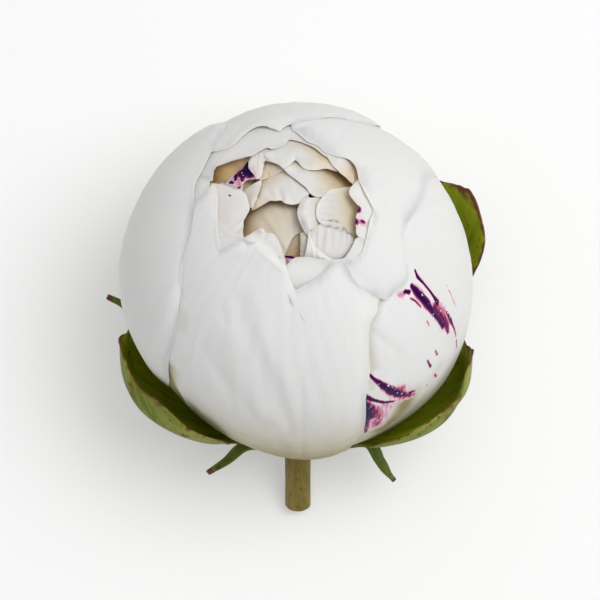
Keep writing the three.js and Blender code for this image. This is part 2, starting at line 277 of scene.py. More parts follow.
# %% [markdown]
# ### Living petal
#
# A peony petal is satiny and almost white, and cream toward its foot. Painted shade makes it darker and
# warmer on the ball's lower side and tan in the gaps of the heart. Fine veins run along it. Broken marks of
# crimson pigment run the same way: deep purple in the middle, where it is wet and glossy, and pink where it
# fades out into the white.

# %% Petal material
def petal_material(name, colours, roughness):
    material, tree = new_material(name)
    uv = add(tree, "UVMap").outputs["UV"]
    here = add(tree, "TexCoord").outputs["Object"]
    cream_and_painted_shade = add(tree, "Attribute", attribute_name="cream_and_painted_shade").outputs["Fac"]
    stain = add(tree, "Attribute", attribute_name="stain").outputs["Fac"]
    # Veins: 90 across a petal is one in 0.6 mm, which is coarser than real ones, so that they show.
    stretched = add(tree, "Mapping", {"Vector": uv, "Scale": (90, 3, 1)}).outputs["Vector"]
    veins = add(tree, "TexNoise", {
        "Vector": stretched, "Scale": 1.0, "Detail": 4.0, "Roughness": 0.55}).outputs["Fac"]
    # White to cream and on to a tan that is painted shade, uneven over patches about 6 mm wide.
    mottle = add(tree, "TexNoise", {"Vector": here, "Scale": 160.0, "Detail": 3.0}).outputs["Fac"]
    uneven = add(tree, "Math", {0: mottle, 1: 0.5, 2: -0.25}, operation="MULTIPLY_ADD").outputs[0]
    veined = add(tree, "Math", {0: veins, 1: 0.10, 2: -0.05}, operation="MULTIPLY_ADD").outputs[0]
    spread = add(tree, "Math", {0: cream_and_painted_shade, 1: uneven}, operation="MULTIPLY").outputs[0]
    cream_and_shade_share = add(tree, "Math", {0: cream_and_painted_shade, 1: spread}, operation="ADD").outputs[0]
    cream_and_shade_share = add(tree, "Math", {0: cream_and_shade_share, 1: veined}, operation="ADD", use_clamp=True).outputs[0]
    ground = add(tree, "ValToRGB", {"Fac": cream_and_shade_share})
    stops(ground, *colours)
    # Crimson: the painted field is smooth, and a fine noise along the veins frays its borders.
    fray_map = add(tree, "Mapping", {"Vector": uv, "Scale": (120, 22, 1)}).outputs["Vector"]
    fray = add(tree, "TexNoise", {
        "Vector": fray_map, "Scale": 1.0, "Detail": 5.0, "Roughness": 0.6}).outputs["Fac"]
    frayed = add(tree, "Math", {0: fray, 1: 0.6, 2: -0.3}, operation="MULTIPLY_ADD").outputs[0]
    field = add(tree, "Math", {0: stain, 1: frayed}, operation="ADD").outputs[0]
    pigment = add(tree, "ValToRGB", {"Fac": field})
    stops(pigment, (0.24, "#f1d9e2"), (0.38, "#dd97b0"), (0.48, "#a5305c"), (0.57, "#5a1250"),
          (0.7, "#340a50"), (1.0, "#22063e"))
    shown = add(tree, "ValToRGB", {"Fac": field})
    stops(shown, (0.12, 0.0), (0.34, 1.0))
    present = add(tree, "Math", {0: stain, 1: 0.02}, operation="GREATER_THAN").outputs[0]
    amount = add(tree, "Math", {0: shown.outputs["Color"], 1: present}, operation="MULTIPLY").outputs[0]
    # White flecks are left inside the marks, under a millimetre apart: painted glints of the wet skin.
    glint_noise = add(tree, "TexNoise", {"Vector": here, "Scale": 1300.0, "Detail": 1.0}).outputs["Fac"]
    painted_glints = add(tree, "ValToRGB", {"Fac": glint_noise})
    stops(painted_glints, (0.68, 1.0), (0.72, 0.1))
    amount = add(tree, "Math", {0: amount, 1: painted_glints.outputs["Color"]}, operation="MULTIPLY").outputs[0]
    colour = add(tree, "Mix", {0: amount, 6: ground.outputs["Color"], 7: pigment.outputs["Color"]},
                 data_type="RGBA")
    # The thick of a mark is wet and glossy, and lets no light in.
    wet = add(tree, "MapRange", {"Value": field, "From Min": 0.5, "From Max": 0.75,
                                 "To Min": roughness, "To Max": 0.2}).outputs["Result"]
    depth = add(tree, "MapRange", {"Value": field, "From Min": 0.35, "From Max": 0.6,
                                   "To Min": 0.7, "To Max": 0.0}).outputs["Result"]
    # Relief of veins and of skin cells, both soft.
    bumps = add(tree, "Math", {0: veins, 1: 0.6}, operation="MULTIPLY").outputs[0]
    skin = add(tree, "TexNoise", {"Vector": here, "Scale": 900.0, "Detail": 2.0}).outputs["Fac"]
    bumps = add(tree, "Math", {0: skin, 1: 0.25, 2: bumps}, operation="MULTIPLY_ADD").outputs[0]
    relief = add(tree, "Bump", {"Height": bumps, "Strength": 0.25, "Distance": 0.0003})
    shader = add(tree, "BsdfPrincipled", {
        "Base Color": colour.outputs[2],
        "Roughness": wet,
        "Normal": relief.outputs["Normal"],
        "IOR": 1.4,
        "Specular IOR Level": 0.1,
        "Subsurface Weight": depth,
        "Subsurface Radius": (1.0, 0.94, 0.85),
        "Subsurface Scale": 0.0015,
    })
    add(tree, "OutputMaterial", {"Surface": shader.outputs["BSDF"]})
    return material


# Its darker stops are painted shade of the ball's lower side and foot, and of the seams.
petal_white = petal_material("living_petal", [
    (0.0, "#f0eee9"), (0.3, "#e1dbce"), (0.56, "#cfc8b4"), (0.9, "#a79d80"), (1.0, "#988d64")], 0.5)
# Its tan end is painted shade of the gaps in the heart.
petal_heart = petal_material("living_petal_heart", [
    (0.0, "#f1eee8"), (0.5, "#e5d3b8"), (1.0, "#cba26a")], 0.55)
print("nodes in a petal material:", len(petal_white.node_tree.nodes))

# %% [markdown]
# ## Wrapped petals
#
# A guard petal is given by its four sides: its foot on the receptacle, its two long edges and its rim.
# A four-sided patch fills in the surface between them. Where a petal lies over another it presses on it at
# its edges, so the edges dip. Soft folds run along the petal, and its rim is thin, waved and a little worn.

# %% Sides and patches
def side(points, round_bloom=False):
    """A smooth curve through (theta, phi) points, for t from 0 to 1 along it, or round the bloom."""
    table = np.array(points, float)
    step = np.diff(table, axis=0)
    if round_bloom:
        step[:, 0] = 0
    else:
        middle = (table[1:, 0] + table[:-1, 0]) / 2
        step[:, 1] *= np.sin(np.radians(middle)) + 0.05  # a degree of phi is short near the foot
    lengths = np.concatenate([[0], np.cumsum(np.hypot(step[:, 0], step[:, 1]))])
    return through(np.column_stack([lengths / lengths[-1], table]))


def patch(left, right, rim, u, v, even_rim=False):
    """Theta, phi and what else a point has over a four-sided patch. left and right run from the foot up.

    With even_rim, the columns stand at even angles round the bloom, so a notch can't fold them over."""
    left_side, right_side, rim_side = side(left), side(right), side(rim, even_rim)
    corners = [np.array(p, float) for p in (left[0], right[0], left[-1], right[-1])]
    u, v = u[..., None], v[..., None]
    foot = corners[0] * (1 - u) + corners[1] * u
    sides = (1 - u) * left_side(v[..., 0]) + u * right_side(v[..., 0])
    ends = (1 - v) * foot + v * rim_side(u[..., 0])
    low = (1 - v) * ((1 - u) * corners[0] + u * corners[1])
    high = v * ((1 - u) * corners[2] + u * corners[3])
    return np.moveaxis(sides + ends - low - high, -1, 0)


def reach(points, axis, backward=False):
    """Distance in mm from one border of a grid of points, along its rows or columns."""
    step = np.linalg.norm(np.diff(points, axis=axis), axis=-1)
    zero = np.zeros_like(np.take(step, [0], axis=axis))
    total = np.concatenate([zero, np.cumsum(step, axis=axis)], axis=axis)
    return np.take(total, [-1], axis=axis) - total if backward else total


def waves(seed, x, y, count=6, low=1.0, high=3.0):
    """Smooth seeded unevenness between about -1 and 1."""
    draw = np.random.default_rng(seed)
    total = 0
    for _ in range(count):
        fx, fy = draw.uniform(low, high, 2) * draw.choice([-1, 1], 2)
        total = total + np.sin(2 * np.pi * (fx * x + fy * y) + draw.uniform(0, 2 * np.pi))
    return total / math.sqrt(count)


# %% [markdown]
# Creases, ridges and crimson marks all follow lines on the ball. So one function gives the distance of
# every point from such a line, in mm, and what happens there is up to the caller.

# %% Lines on a petal
def from_line(theta, phi, points, widths=None, flat=False):
    """Distance from a line of (theta, phi) points in mm, or in half widths where those are given.

    With flat, the line's points are (x, y) in mm instead, and theta and phi hold y and x."""
    line = np.array(points, float)
    if flat:
        here = np.stack([phi, theta], -1)
    else:
        here = np.stack([theta, phi * np.sin(np.radians(theta))], -1) * math.radians(BALL)
        shrink = np.column_stack([np.ones(len(line)), np.sin(np.radians(line[:, 0]))])
        line = line * shrink * math.radians(BALL)
    widths = widths or [1] * len(line)
    nearest = np.full(theta.shape, 1e9)
    for a, b, start, end in zip(line, line[1:], widths, widths[1:]):
        ab = b - a
        along = np.clip(((here - a) @ ab) / max(ab @ ab, 1e-9), 0, 1)
        distance = np.linalg.norm(here - (a + along[..., None] * ab), axis=-1)
        nearest = np.minimum(nearest, distance / (start + (end - start) * along))
    return nearest


def marks(theta, phi, streaks, flat=False):
    """How strongly each point lies within a mark: 1 on its line, 0.5 at its width, 0 at twice that."""
    field = np.zeros_like(theta)
    for points, widths, *strength in streaks:
        distance = from_line(theta, phi, points, widths, flat)
        field = np.maximum(field, (strength or [1])[0] * (1 - distance / 2))
    return np.clip(field, 0, 1)


# %% Petal maker
PETAL_THICKNESS = 0.36
PETAL_FOOT = 10.5  # theta at the receptacle
RIM_RADIUS = 38
# How far in from an edge these reach, in mm: wear, ruffles, the dip of a pressed edge, the thin rim.
WORN, RUFFLED, PRESSED, THINNED = 1.5, 3, 3.5, 2.5
RIM_SHARE = 0.35  # thickness left at a petal's edge
PLEAT_SPACING, PLEAT_DEPTH = 12, 0.05


def shaped(piece, theta, phi, level, seed, borders, press=(0, 0, 0), ruffle=0.0, wear=0.12, lines=(),
           stains=(), cream=(), thickness=PETAL_THICKNESS):
    """Gives a petal its heights, marks and thickness. borders: mm from its left, right and rim.

    lines are raised or sunk by (points, width, height), and the petal is warmed along cream by
    (points, width, share): cream round the marks, and painted shade along seams under another petal's edge."""
    from_rim = borders[2]
    flat = on_ball(theta, phi, BALL)
    torn = wear * waves(seed + 1, flat[..., 0] / 16, flat[..., 1] / 16, 7, 0.7, 2.4)
    theta = theta + np.degrees(torn * np.exp(-from_rim / WORN) / RIM_RADIUS)
    height = level(phi, theta) + 0.08 * waves(seed, flat[..., 0] / 30, flat[..., 2] / 30, 6, 0.5, 1.5)
    for distance, depth in zip(borders, press):
        height = height - depth * np.exp(-((distance / PRESSED) ** 2))
    ripple = waves(seed + 2, flat[..., 0] / 14, flat[..., 1] / 14, 6, 0.6, 1.8)
    height = height + ruffle * ripple * np.exp(-from_rim / RUFFLED)
    # Soft lengthwise pleats, 4 to 12 mm apart where the petal is widest.
    pleats = waves(seed + 3, np.radians(phi) * BALL / PLEAT_SPACING, theta / 90, 8, 0.9, 3.2)
    height = height + PLEAT_DEPTH * pleats * np.sin(np.radians(theta))
    for points, width, depth in lines:
        height = height + depth * np.exp(-((from_line(theta, phi, points) / width) ** 2))
    place(piece, on_ball(theta, phi, height))
    # Cream toward the foot, and beyond it painted shade of the ball's lower side.
    cream_and_painted_shade = smooth((100 - theta) / 70)  # cream toward the foot
    for points, width, amount in cream:
        cream_and_painted_shade = np.maximum(cream_and_painted_shade, amount * np.exp(-((from_line(theta, phi, points) / width) ** 2)))
    paint(piece, "cream_and_painted_shade", cream_and_painted_shade)
    paint(piece, "stain", marks(theta, phi, stains))
    thin_rim(piece, np.minimum.reduce(borders), THINNED)
    apply(piece, "SOLIDIFY", thickness=thickness * MM, offset=0, use_even_offset=False,
          vertex_group="thick", thickness_vertex_group=RIM_SHARE)
    return piece


def wrapped_petal(name, left, right, rim, level, across, length, seed, **details):
    piece, u, v = flat_grid(name, across, length)
    theta, phi = patch(left, right, rim, u, v, even_rim=True)
    plain = on_ball(theta, phi, BALL)
    borders = reach(plain, 1), reach(plain, 1, True), reach(plain, 0, True)
    return shaped(piece, theta, phi, level, seed, borders, **details)


# %% [markdown]
# Petals that lie over their neighbours bulge out where the bloom is widest, and hug it near the opening.

# %% Heights of the guard petals
UNDER = 38.5  # radius of a petal that lies right under another


def over(theta):
    """Radius of a petal that lies on its neighbours."""
    return 39.85 - 1.2 * smooth((theta - 118) / 34)


def layered(share):
    """The height of a petal that lies over its neighbours by that share, from 0 to 1."""
    return lambda phi, theta: UNDER + (over(theta) - UNDER) * share(phi)


# %% Four of the guard petals
GUARDS = {
    "left": dict(
        left=[(PETAL_FOOT, -150), (40, -151), (80, -152), (120, -151), (132, -150)],
        right=[(PETAL_FOOT, -92), (30, -84), (45, -76), (57, -67), (68, -56), (80, -48.5), (91, -46.2),
               (100, -46), (109, -45.8), (119, -48), (127, -52)],
        rim=[(132, -150), (135.5, -145), (138.5, -139), (141.7, -129.4), (143.8, -116.5), (143.9, -104.8),
             (144.9, -95), (144.9, -86.7), (143, -76.8), (139.2, -68.9), (133, -59), (127, -52)],
        level=layered(ramp(-200, 1, -190, 1)),
        across=120, length=120, seed=11, press=(0.85, 0.8, 0.25),
    ),
    "front": dict(
        left=[(PETAL_FOOT, -52), (40, -57), (62, -59), (83, -61), (97, -63), (113, -66), (127, -72),
              (140, -86), (151, -108)],
        right=[(PETAL_FOOT, 40), (40, 26), (68, 23.5), (94, 21.6), (107.5, 23.7), (119.7, 25.8),
               (129, 29.8), (133.4, 36.5), (138.2, 37.5), (143.2, 35.4), (148.1, 34.6), (152, 35.5),
               (155.4, 36.1)],
        rim=[(151, -108), (152.7, -102.3), (153.7, -89.4), (152.8, -73.9), (151.1, -63.6), (150.2, -57.5),
             (151, -56.9), (153.2, -56.3), (155.7, -55.7), (158, -55.1), (159.7, -54.6), (161.3, -53.9),
             (163.2, -53.1), (164.6, -51.8), (165.3, -47.7), (165, -41.4), (165.7, -37.2), (166.1, -33.7),
             (165.5, -27.3), (163.8, -20.2), (161.4, -14.5), (159.3, -11.5), (156.8, -9.5), (154.4, -7.1),
             (152.1, -4.6), (149.3, -1.8), (149.9, 1.2), (151, 5.7), (152.1, 9.8), (153.1, 14.3),
             (155, 19.9), (156.2, 26.8), (156.1, 32.7), (155.4, 36.1)],
        level=layered(ramp(-50, 0.1, 15, 1)),
        across=190, length=150, seed=23, press=(0, 0.5, 0.15), ruffle=0.12, wear=0.06,
        lines=[
            ([(140, -29.5), (133, -23), (125, -17), (117, -12.5), (107, -8.3), (98, -5.5), (80, -2)],
             2.4, -0.28),
            ([(142.5, -20.5), (135, -16.2), (127.5, -11), (118, -6), (108, -2.6), (96, -0.6)], 2.2, 0.24),
            ([(112, -31.5), (105, -26), (99, -21.5), (92, -17.5), (82, -13)], 2.4, -0.28),
            ([(127, -27), (118, -23), (108, -18.5), (98, -14), (88, -11)], 2.6, 0.24),
            ([(107.2, 1.3), (85, 1.3), (45, 2.4)], 0.8, -0.14),
            ([(134.4, -34.8), (129.7, -30.6)], 1.1, -0.2),
            ([(121, -49.5), (125, -48.2), (132, -45.4), (140.6, -38), (146.5, -27.7), (149.1, -16.9),
              (149.8, -7.9), (149.7, -3)], 2.4, 0.16),
            ([(145.5, -4.5), (134.1, 1), (123.7, 4)], 2.0, -0.08),
            ([(149.5, -5), (151, 5), (153.5, 15), (155, 21)], 2.4, -0.38),
            ([(92.5, -44.5), (84, -43), (72, -44), (62, -48)], 0.9, 0.3),
            ([(150.6, -55.1), (153.2, -51.6), (155.3, -48), (157.8, -43.9), (159.8, -40.4), (159.2, -32.8),
              (158.2, -23.8), (156.5, -15.5)], 0.7, 0.3),
            ([(158.8, -50.3), (161.5, -45.1), (161.8, -35.5), (160.9, -25.1), (159.8, -17.1)], 1.4, -0.8),
            ([(164.3, -36.5), (164.2, -28), (162.3, -19.5), (160.4, -13.8)], 0.7, 0.35),
            ([(164.4, -48.6), (164.4, -46.6)], 0.8, 0.8),
        ],
        # Both cream lines on the front petal are painted shade along the left petal's edge.
        cream=[([(93, -46.5), (87, -46.5), (80, -47.5), (74, -48), (67, -49.5), (58, -53)], 2.6, 1.0),
               ([(122, -46.5), (117, -45)], 1.4, 0.2)],
    ),
    "right": dict(
        left=[(PETAL_FOOT, 22), (30, 14), (60, 12), (100, 8), (138, 12)],
        right=[(PETAL_FOOT, 112), (40, 118), (80, 121), (120, 122), (132, 120)],
        rim=[(138, 12), (144, 40), (146, 70), (144, 100), (132, 120)],
        level=lambda phi, theta: (UNDER - 0.1 - 0.8 * smooth((theta - 118) / 20)
                                  + 1.5 * np.exp(-(((theta - 62) / 26) ** 2) - ((phi - 70) / 30) ** 2)),
        across=214, length=226, seed=37, wear=0.0,
        lines=[([(125.5, 30), (118.8, 32.8), (111, 35.6)], 1.0, -0.22),
               ([(124, 36), (114, 38.5), (106, 42)], 1.6, 0.14),
               ([(134, 41), (131.3, 36), (127.2, 30), (118.8, 27), (107.2, 26)], 1.2, -0.8)],
        # On the right petal the second line is painted shade along the front petal's edge; the rest is
        # cream round the marks.
        cream=[([(80, 38), (72, 39), (64, 37), (56, 34)], 4.2, 1.0),
               ([(133.8, 40), (131.3, 35), (127.2, 29.3), (118.8, 26.6), (107, 25.2), (98, 24.5)],
                1.0, 0.45),
               ([(98, 60), (94, 62)], 3.5, 0.18), ([(86, 52), (84, 50)], 3.0, 0.25),
               ([(126, 58), (104, 61)], 4.0, 0.1)],
        stains=[
            ([(132.7, 62.5), (130.8, 60.8), (127, 60.3), (123.4, 59.9), (119.5, 59.6), (116.2, 59.2)],
             (0.25, 0.34, 0.24, 0.24, 0.28, 0.7)),
            ([(130.4, 55.6), (127.6, 55.3), (124, 55.2), (119.5, 55.4)], (0.4, 0.75, 0.85, 0.8)),
            ([(119.5, 55.2), (114, 55.4), (108.5, 56.3), (105, 57)], (0.7, 0.42, 0.5, 0.55)),
            ([(116, 57), (110, 58), (104, 58.6), (100.1, 58.2)], (1.6, 1.7, 1.4, 0.5), 0.62),
            ([(131, 51.5), (129.3, 52.8)], (0.32, 0.42)),
            ([(131.8, 48.6), (130.5, 50.2)], (0.9, 0.8), 0.4),
            ([(127.3, 51.3), (124.8, 52.1), (121.2, 52.3)], (0.2, 0.2, 0.16), 0.8),
            ([(114.5, 51.4), (111.8, 51.4)], (0.2, 0.2), 0.6),
            ([(109, 60.7), (103.9, 61), (98.5, 61.6), (93, 62.4)], (0.24, 0.42, 0.26, 0.16), 0.85),
            ([(91, 62.6), (86, 63.2)], (0.34, 0.36), 0.6),
            ([(117, 67.4), (110.9, 66.3), (103.9, 66.2)], (0.1, 0.2, 0.1), 0.55),
            ([(98.1, 50.5), (95.2, 51.1)], (0.28, 0.3), 0.7),
            ([(96.8, 46.4), (94, 47), (91.5, 47.8)], (0.25, 0.3, 0.4), 0.75),
            ([(84.6, 50.2), (81.5, 51.8)], (0.32, 0.32), 0.65),
            ([(80.8, 46.6), (80.8, 47.3)], (0.3, 0.28), 0.6),
            ([(106.5, 24), (101.5, 26.3), (97, 28.6)], (0.2, 0.5, 0.75)),
            ([(97, 28.6), (91.6, 31.4), (86.5, 34.6)], (0.75, 1.1, 1.1)),
            ([(86.5, 34.6), (84, 37.6), (83, 41)], (0.9, 0.6, 0.3)),
            ([(90, 34), (84, 36.5), (80.5, 41)], (2.2, 2.2, 1.2), 0.55),
            ([(95, 21.6), (90.2, 24.7), (86, 28.6), (83, 32.6)], (0.7, 0.45, 0.4, 0.3)),
            ([(93, 20.5), (88, 22), (83.5, 23.6)], (0.6, 1.2, 1.5)),
            ([(84, 22), (79, 23.5), (76, 25)], (1.8, 1.9, 1.2)),
            ([(79, 22.5), (72, 24.2), (66, 25.6), (59, 27.2)], (1.1, 0.75, 0.6, 0.4), 0.85),
            ([(82, 26.5), (73, 28.5), (64, 30)], (2.4, 3.0, 2.0), 0.5),
            ([(84, 29), (79, 32.5)], (1.2, 0.8), 0.42),
            ([(84, 30), (76, 31), (68, 30)], (2.0, 2.4, 2.0), 0.36),
        ],
    ),
    "back_left": dict(
        left=[(PETAL_FOOT, 170), (40, 164), (80, 156), (110, 150), (128, 146.5), (135.7, 152)],
        right=[(PETAL_FOOT, 240), (60, 240), (110, 237), (132, 236)],
        rim=[(135.7, 152), (137.3, 159.2), (143.8, 172.4), (146.5, 181.7), (148.7, 189.2), (150.2, 191.5),
             (147.5, 196.7), (145.4, 202.4), (145.1, 207.7), (145.8, 212.7), (146.8, 220.9), (144, 229),
             (132, 236)],
        level=layered(ramp(188, 1, 215, 0.1)),
        across=120, length=120, seed=53, press=(0.6, 0, 0.12), wear=0.05,
        lines=[([(146, 196), (144, 203), (143.5, 210)], 1.8, 0.5)],
    ),
}
guard_petals = {}
for place_name, form in GUARDS.items():
    petal = wrapped_petal("guard_petal_%s_fine" % place_name, **form)
    finish(petal, [petal_white], "petal_white", "guard_petal_" + place_name)
    print(petal.name, len(petal.data.polygons), "faces")

# %% [markdown]
# The fifth guard petal has a wing that reaches round the opening and over the right petal. A grid with
# one corner cut out fits that outline: the wing is the part beside the cut.

# %% Guard petal with a wing
WING_TIP, BLADE_START, BLADE_END = 31, 110, 184  # phi
WING_FOOT = 129.8  # theta of the corner between wing and blade
WING_EDGE = [(31, 141), (38.3, 138.1), (42.2, 133.8), (48.2, 133.6), (54.2, 132.8), (58.4, 134),
             (63.7, 137.8), (72, 142.4), (81.8, 142.4), (89.6, 139.4), (98.4, 134.5), (108, 130.4),
             (110, 129.8)]
WING_RIM = [(31, 153), (35.6, 154.2), (48.4, 152.9), (59.2, 154.6), (73.8, 156.3), (84.2, 155.6),
            (90.8, 156.9), (97.1, 158), (106.1, 158.6), (115.4, 158.3), (126.9, 156.5), (136.5, 156.4),
            (143.6, 158.3), (156.4, 159), (164.2, 157.3), (173, 156), (184, 150)]
BLADE_LEFT = [(PETAL_FOOT, 98), (40, 110), (80, 116), (105, 119), (118, 117), (125, 113), (129.8, 110)]
BLADE_RIGHT = [(PETAL_FOOT, 184), (60, 187), (120, 186), (129.8, 184)]
CUT_WIDTH, CUT_LENGTH = 0.45, 0.62  # shares of the grid


def winged_petal(name, across, length, seed, **details):
    piece, u, v = flat_grid(name, across, length)
    along_wing = WING_TIP + (BLADE_START - WING_TIP) * u / CUT_WIDTH
    along_blade = BLADE_START + (BLADE_END - BLADE_START) * (u - CUT_WIDTH) / (1 - CUT_WIDTH)
    phi_up = np.where(u < CUT_WIDTH, along_wing, along_blade)
    edge = through(WING_EDGE)(phi_up)
    upper = np.clip((v - CUT_LENGTH) / (1 - CUT_LENGTH), 0, 1)
    theta_up = edge + (through(WING_RIM)(phi_up) - edge) * upper
    theta_low = PETAL_FOOT + (WING_FOOT - PETAL_FOOT) * v / CUT_LENGTH
    s = np.clip((u - CUT_WIDTH) / (1 - CUT_WIDTH), 0, 1)
    phi_low = through(BLADE_LEFT)(theta_low) * (1 - s) + through(BLADE_RIGHT)(theta_low) * s
    theta = np.where(v > CUT_LENGTH, theta_up, theta_low)
    phi = np.where(v > CUT_LENGTH, phi_up, phi_low)
    edge_line = [(t, p) for p, t in WING_EDGE[::-1]]
    rim_line = [(t, p) for p, t in WING_RIM]
    borders = (from_line(theta, phi, BLADE_LEFT[:-1] + edge_line),
               reach(on_ball(theta, phi, BALL), 1, True), from_line(theta, phi, rim_line))
    cut = ((u < CUT_WIDTH - 1e-6) & (v < CUT_LENGTH - 0.5 / length)).ravel()
    only(piece)
    bpy.ops.object.mode_set(mode="EDIT")
    bpy.ops.mesh.select_all(action="DESELECT")
    bpy.ops.mesh.select_mode(type="VERT")
    bpy.ops.object.mode_set(mode="OBJECT")
    piece.data.vertices.foreach_set("select", cut)
    bpy.ops.object.mode_set(mode="EDIT")
    bpy.ops.mesh.delete(type="VERT")
    bpy.ops.object.mode_set(mode="OBJECT")
    theta, phi, *borders = (values.ravel()[~cut] for values in (theta, phi, *borders))
    level = layered(lambda q: ramp(30, 0.0, 92, 1)(q) - ramp(108, 0, 145, 1)(q))
    return shaped(piece, theta, phi, level, seed, borders, **details)


petal = winged_petal(
    "guard_petal_back_right_fine", 190, 150, 41, press=(0.35, 0, 0.1), ruffle=0.1, wear=0.05,
    lines=[
        ([(157.5, 86), (156.6, 82.8), (156.8, 78.2), (155.9, 73.1)], 0.6, 0.35),
        ([(154.5, 80.4), (154.5, 71), (154.5, 63), (153.8, 56.5)], 0.6, -0.15),
        ([(159, 109.2), (158.5, 102.8), (157.8, 94.9), (157, 88.3)], 0.6, 0.2),
        ([(154.2, 37.3), (151.4, 36.8), (148.3, 36.2)], 0.9, -0.3),
        ([(141.5, 83), (138.5, 91), (134, 99), (129, 109), (117, 118), (100, 119)], 4, -0.7),
        ([(134, 44), (133.5, 50), (134, 57)], 2.6, -0.3),
        ([(152, 33), (146, 34), (140, 36)], 3.5, -0.3),
        ([(154.1, 114.2), (153.6, 109.1), (152.9, 104)], 0.35, -0.16),
        ([(152.7, 94.8), (151.4, 92), (150.3, 89.8)], 0.4, -0.16),
    ])
finish(petal, [petal_white], "petal_white", "guard_petal_back_right")
print(petal.name, len(petal.data.polygons), "faces")

# %% [markdown]
# ## Second petals
#
# Five more broad petals lie inside the guard petals, each with one edge over the next. Only their rims
# show, in the opening, where they lie close under the guard petals. The one at the back reaches far round
# to the left.

# %% Second petals
SECOND_THICKNESS = 0.3
PETAL_PITCH = 72  # degrees of phi from one to the next
EDGE_THETAS = (13.5, 50, 90, 132)
# For each: the phi of its middle, how far its left and right edges lie from that, its rim and its marks.
SECONDS = {
    1: (-118, (-24, -33, -38, -40), (24, 34, 38, 36),
        [(150, -158), (147, -142), (147.5, -131), (147.6, -121), (148.4, -112), (150, -98), (151, -82)]),
    2: (-46, (-24, -33, -38, -37), (24, 34, 38, 37),
        [(151, -83), (156, -68), (160, -46), (161, -30), (160, -17), (157, -9)]),
    3: (26, (-24, -33, -38, -38), (24, 34, 38, 33),
        [(152, -12.5), (153.7, -12), (157, -10), (158.9, -7.1), (160.3, -2.8), (160.5, 3.8), (160.3, 10.4),
         (159, 18), (157.6, 25), (156.6, 31.1), (155.6, 37.3), (156.3, 44.8), (157.5, 56.2), (157, 59)]),
    4: (98, (-24, -33, -38, -39), (24, 34, 38, 38),
        [(154, 59), (157.4, 59.5), (159.4, 66), (160.4, 70.2), (160.8, 77.7), (160.3, 86.3), (161.2, 90.4),
         (162.4, 96.6), (162.9, 102.8), (162.3, 107.6), (160.8, 111.5), (158, 116.3), (155.3, 123.6),
         (152.7, 133.7), (150, 136)],
        [([(160.9, 83.4), (160, 84.6)], (0.42, 0.38)), ([(160.4, 71), (159.8, 72.2)], (0.4, 0.34)),
         ([(157.8, 72.8), (157.2, 73.6)], (0.3, 0.26)),
         ([(160.4, 70), (158.9, 72.2), (157.2, 74)], (0.9, 0.8, 0.6), 0.4),
         ([(160.6, 84), (159.8, 84)], (0.9, 0.8), 0.35)]),
    5: (170, (-24, -33, -38, -38), (24, 34, 45, 79),
        [(153, 132), (157, 140), (160, 152), (158, 166), (154.4, 186), (156.6, 190.6), (157.4, 197),
         (157.4, 202.4), (156.3, 204.8), (156.2, 210.2), (156.1, 215.6), (155.9, 219.2), (154.8, 223.3),
         (153.5, 227), (152.1, 230.3), (150.7, 233.5), (149, 237.4), (147.6, 240.2), (148.4, 244.3),
         (149.3, 249), (149.2, 250)]),
}


def second_petal(number, middle, left, right, rim, stains=()):
    rise = 136 if number in (3, 4) else 124  # the right guard petal lies lower than its neighbours
    left_side = [(theta, middle + d) for theta, d in zip(EDGE_THETAS, left)] + [rim[0]]
    right_side = [(theta, middle + d) for theta, d in zip(EDGE_THETAS, right)] + [rim[-1]]

    def level(phi, theta):
        """Its left edge lies under its right one, and its rim close under the guard petals."""
        share = (phi - middle + PETAL_PITCH / 2) / PETAL_PITCH
        low = 34.9 + 1.3 * share
        near = 37.85 + 0.25 * np.clip(share, 0, 1)
        return low + (near - low) * smooth((theta - rise) / 20)

    return wrapped_petal("second_petal_%d_fine" % number, left_side, right_side, rim, level, 110, 110,
                         60 + number, ruffle=0.12, wear=0.06, thickness=SECOND_THICKNESS, stains=stains)


for number, form in SECONDS.items():
    petal = second_petal(number, *form)
    finish(petal, [petal_white], "petal_white", "second_petal_%d" % number)
print("second petals:", len(SECONDS))

# %% [markdown]
# ## The heart
#
# A double peony has dozens of small petals in its heart. They stand on a short core and arch over one
# another like nested hoods, so from outside one sees the back of each and the shaded gap under its rim.
# Each is given by three rails in the opening's own frame: where it comes out of the gap, its belly, and
# its rim. Two lower rails, made by rule, take it down to the core.

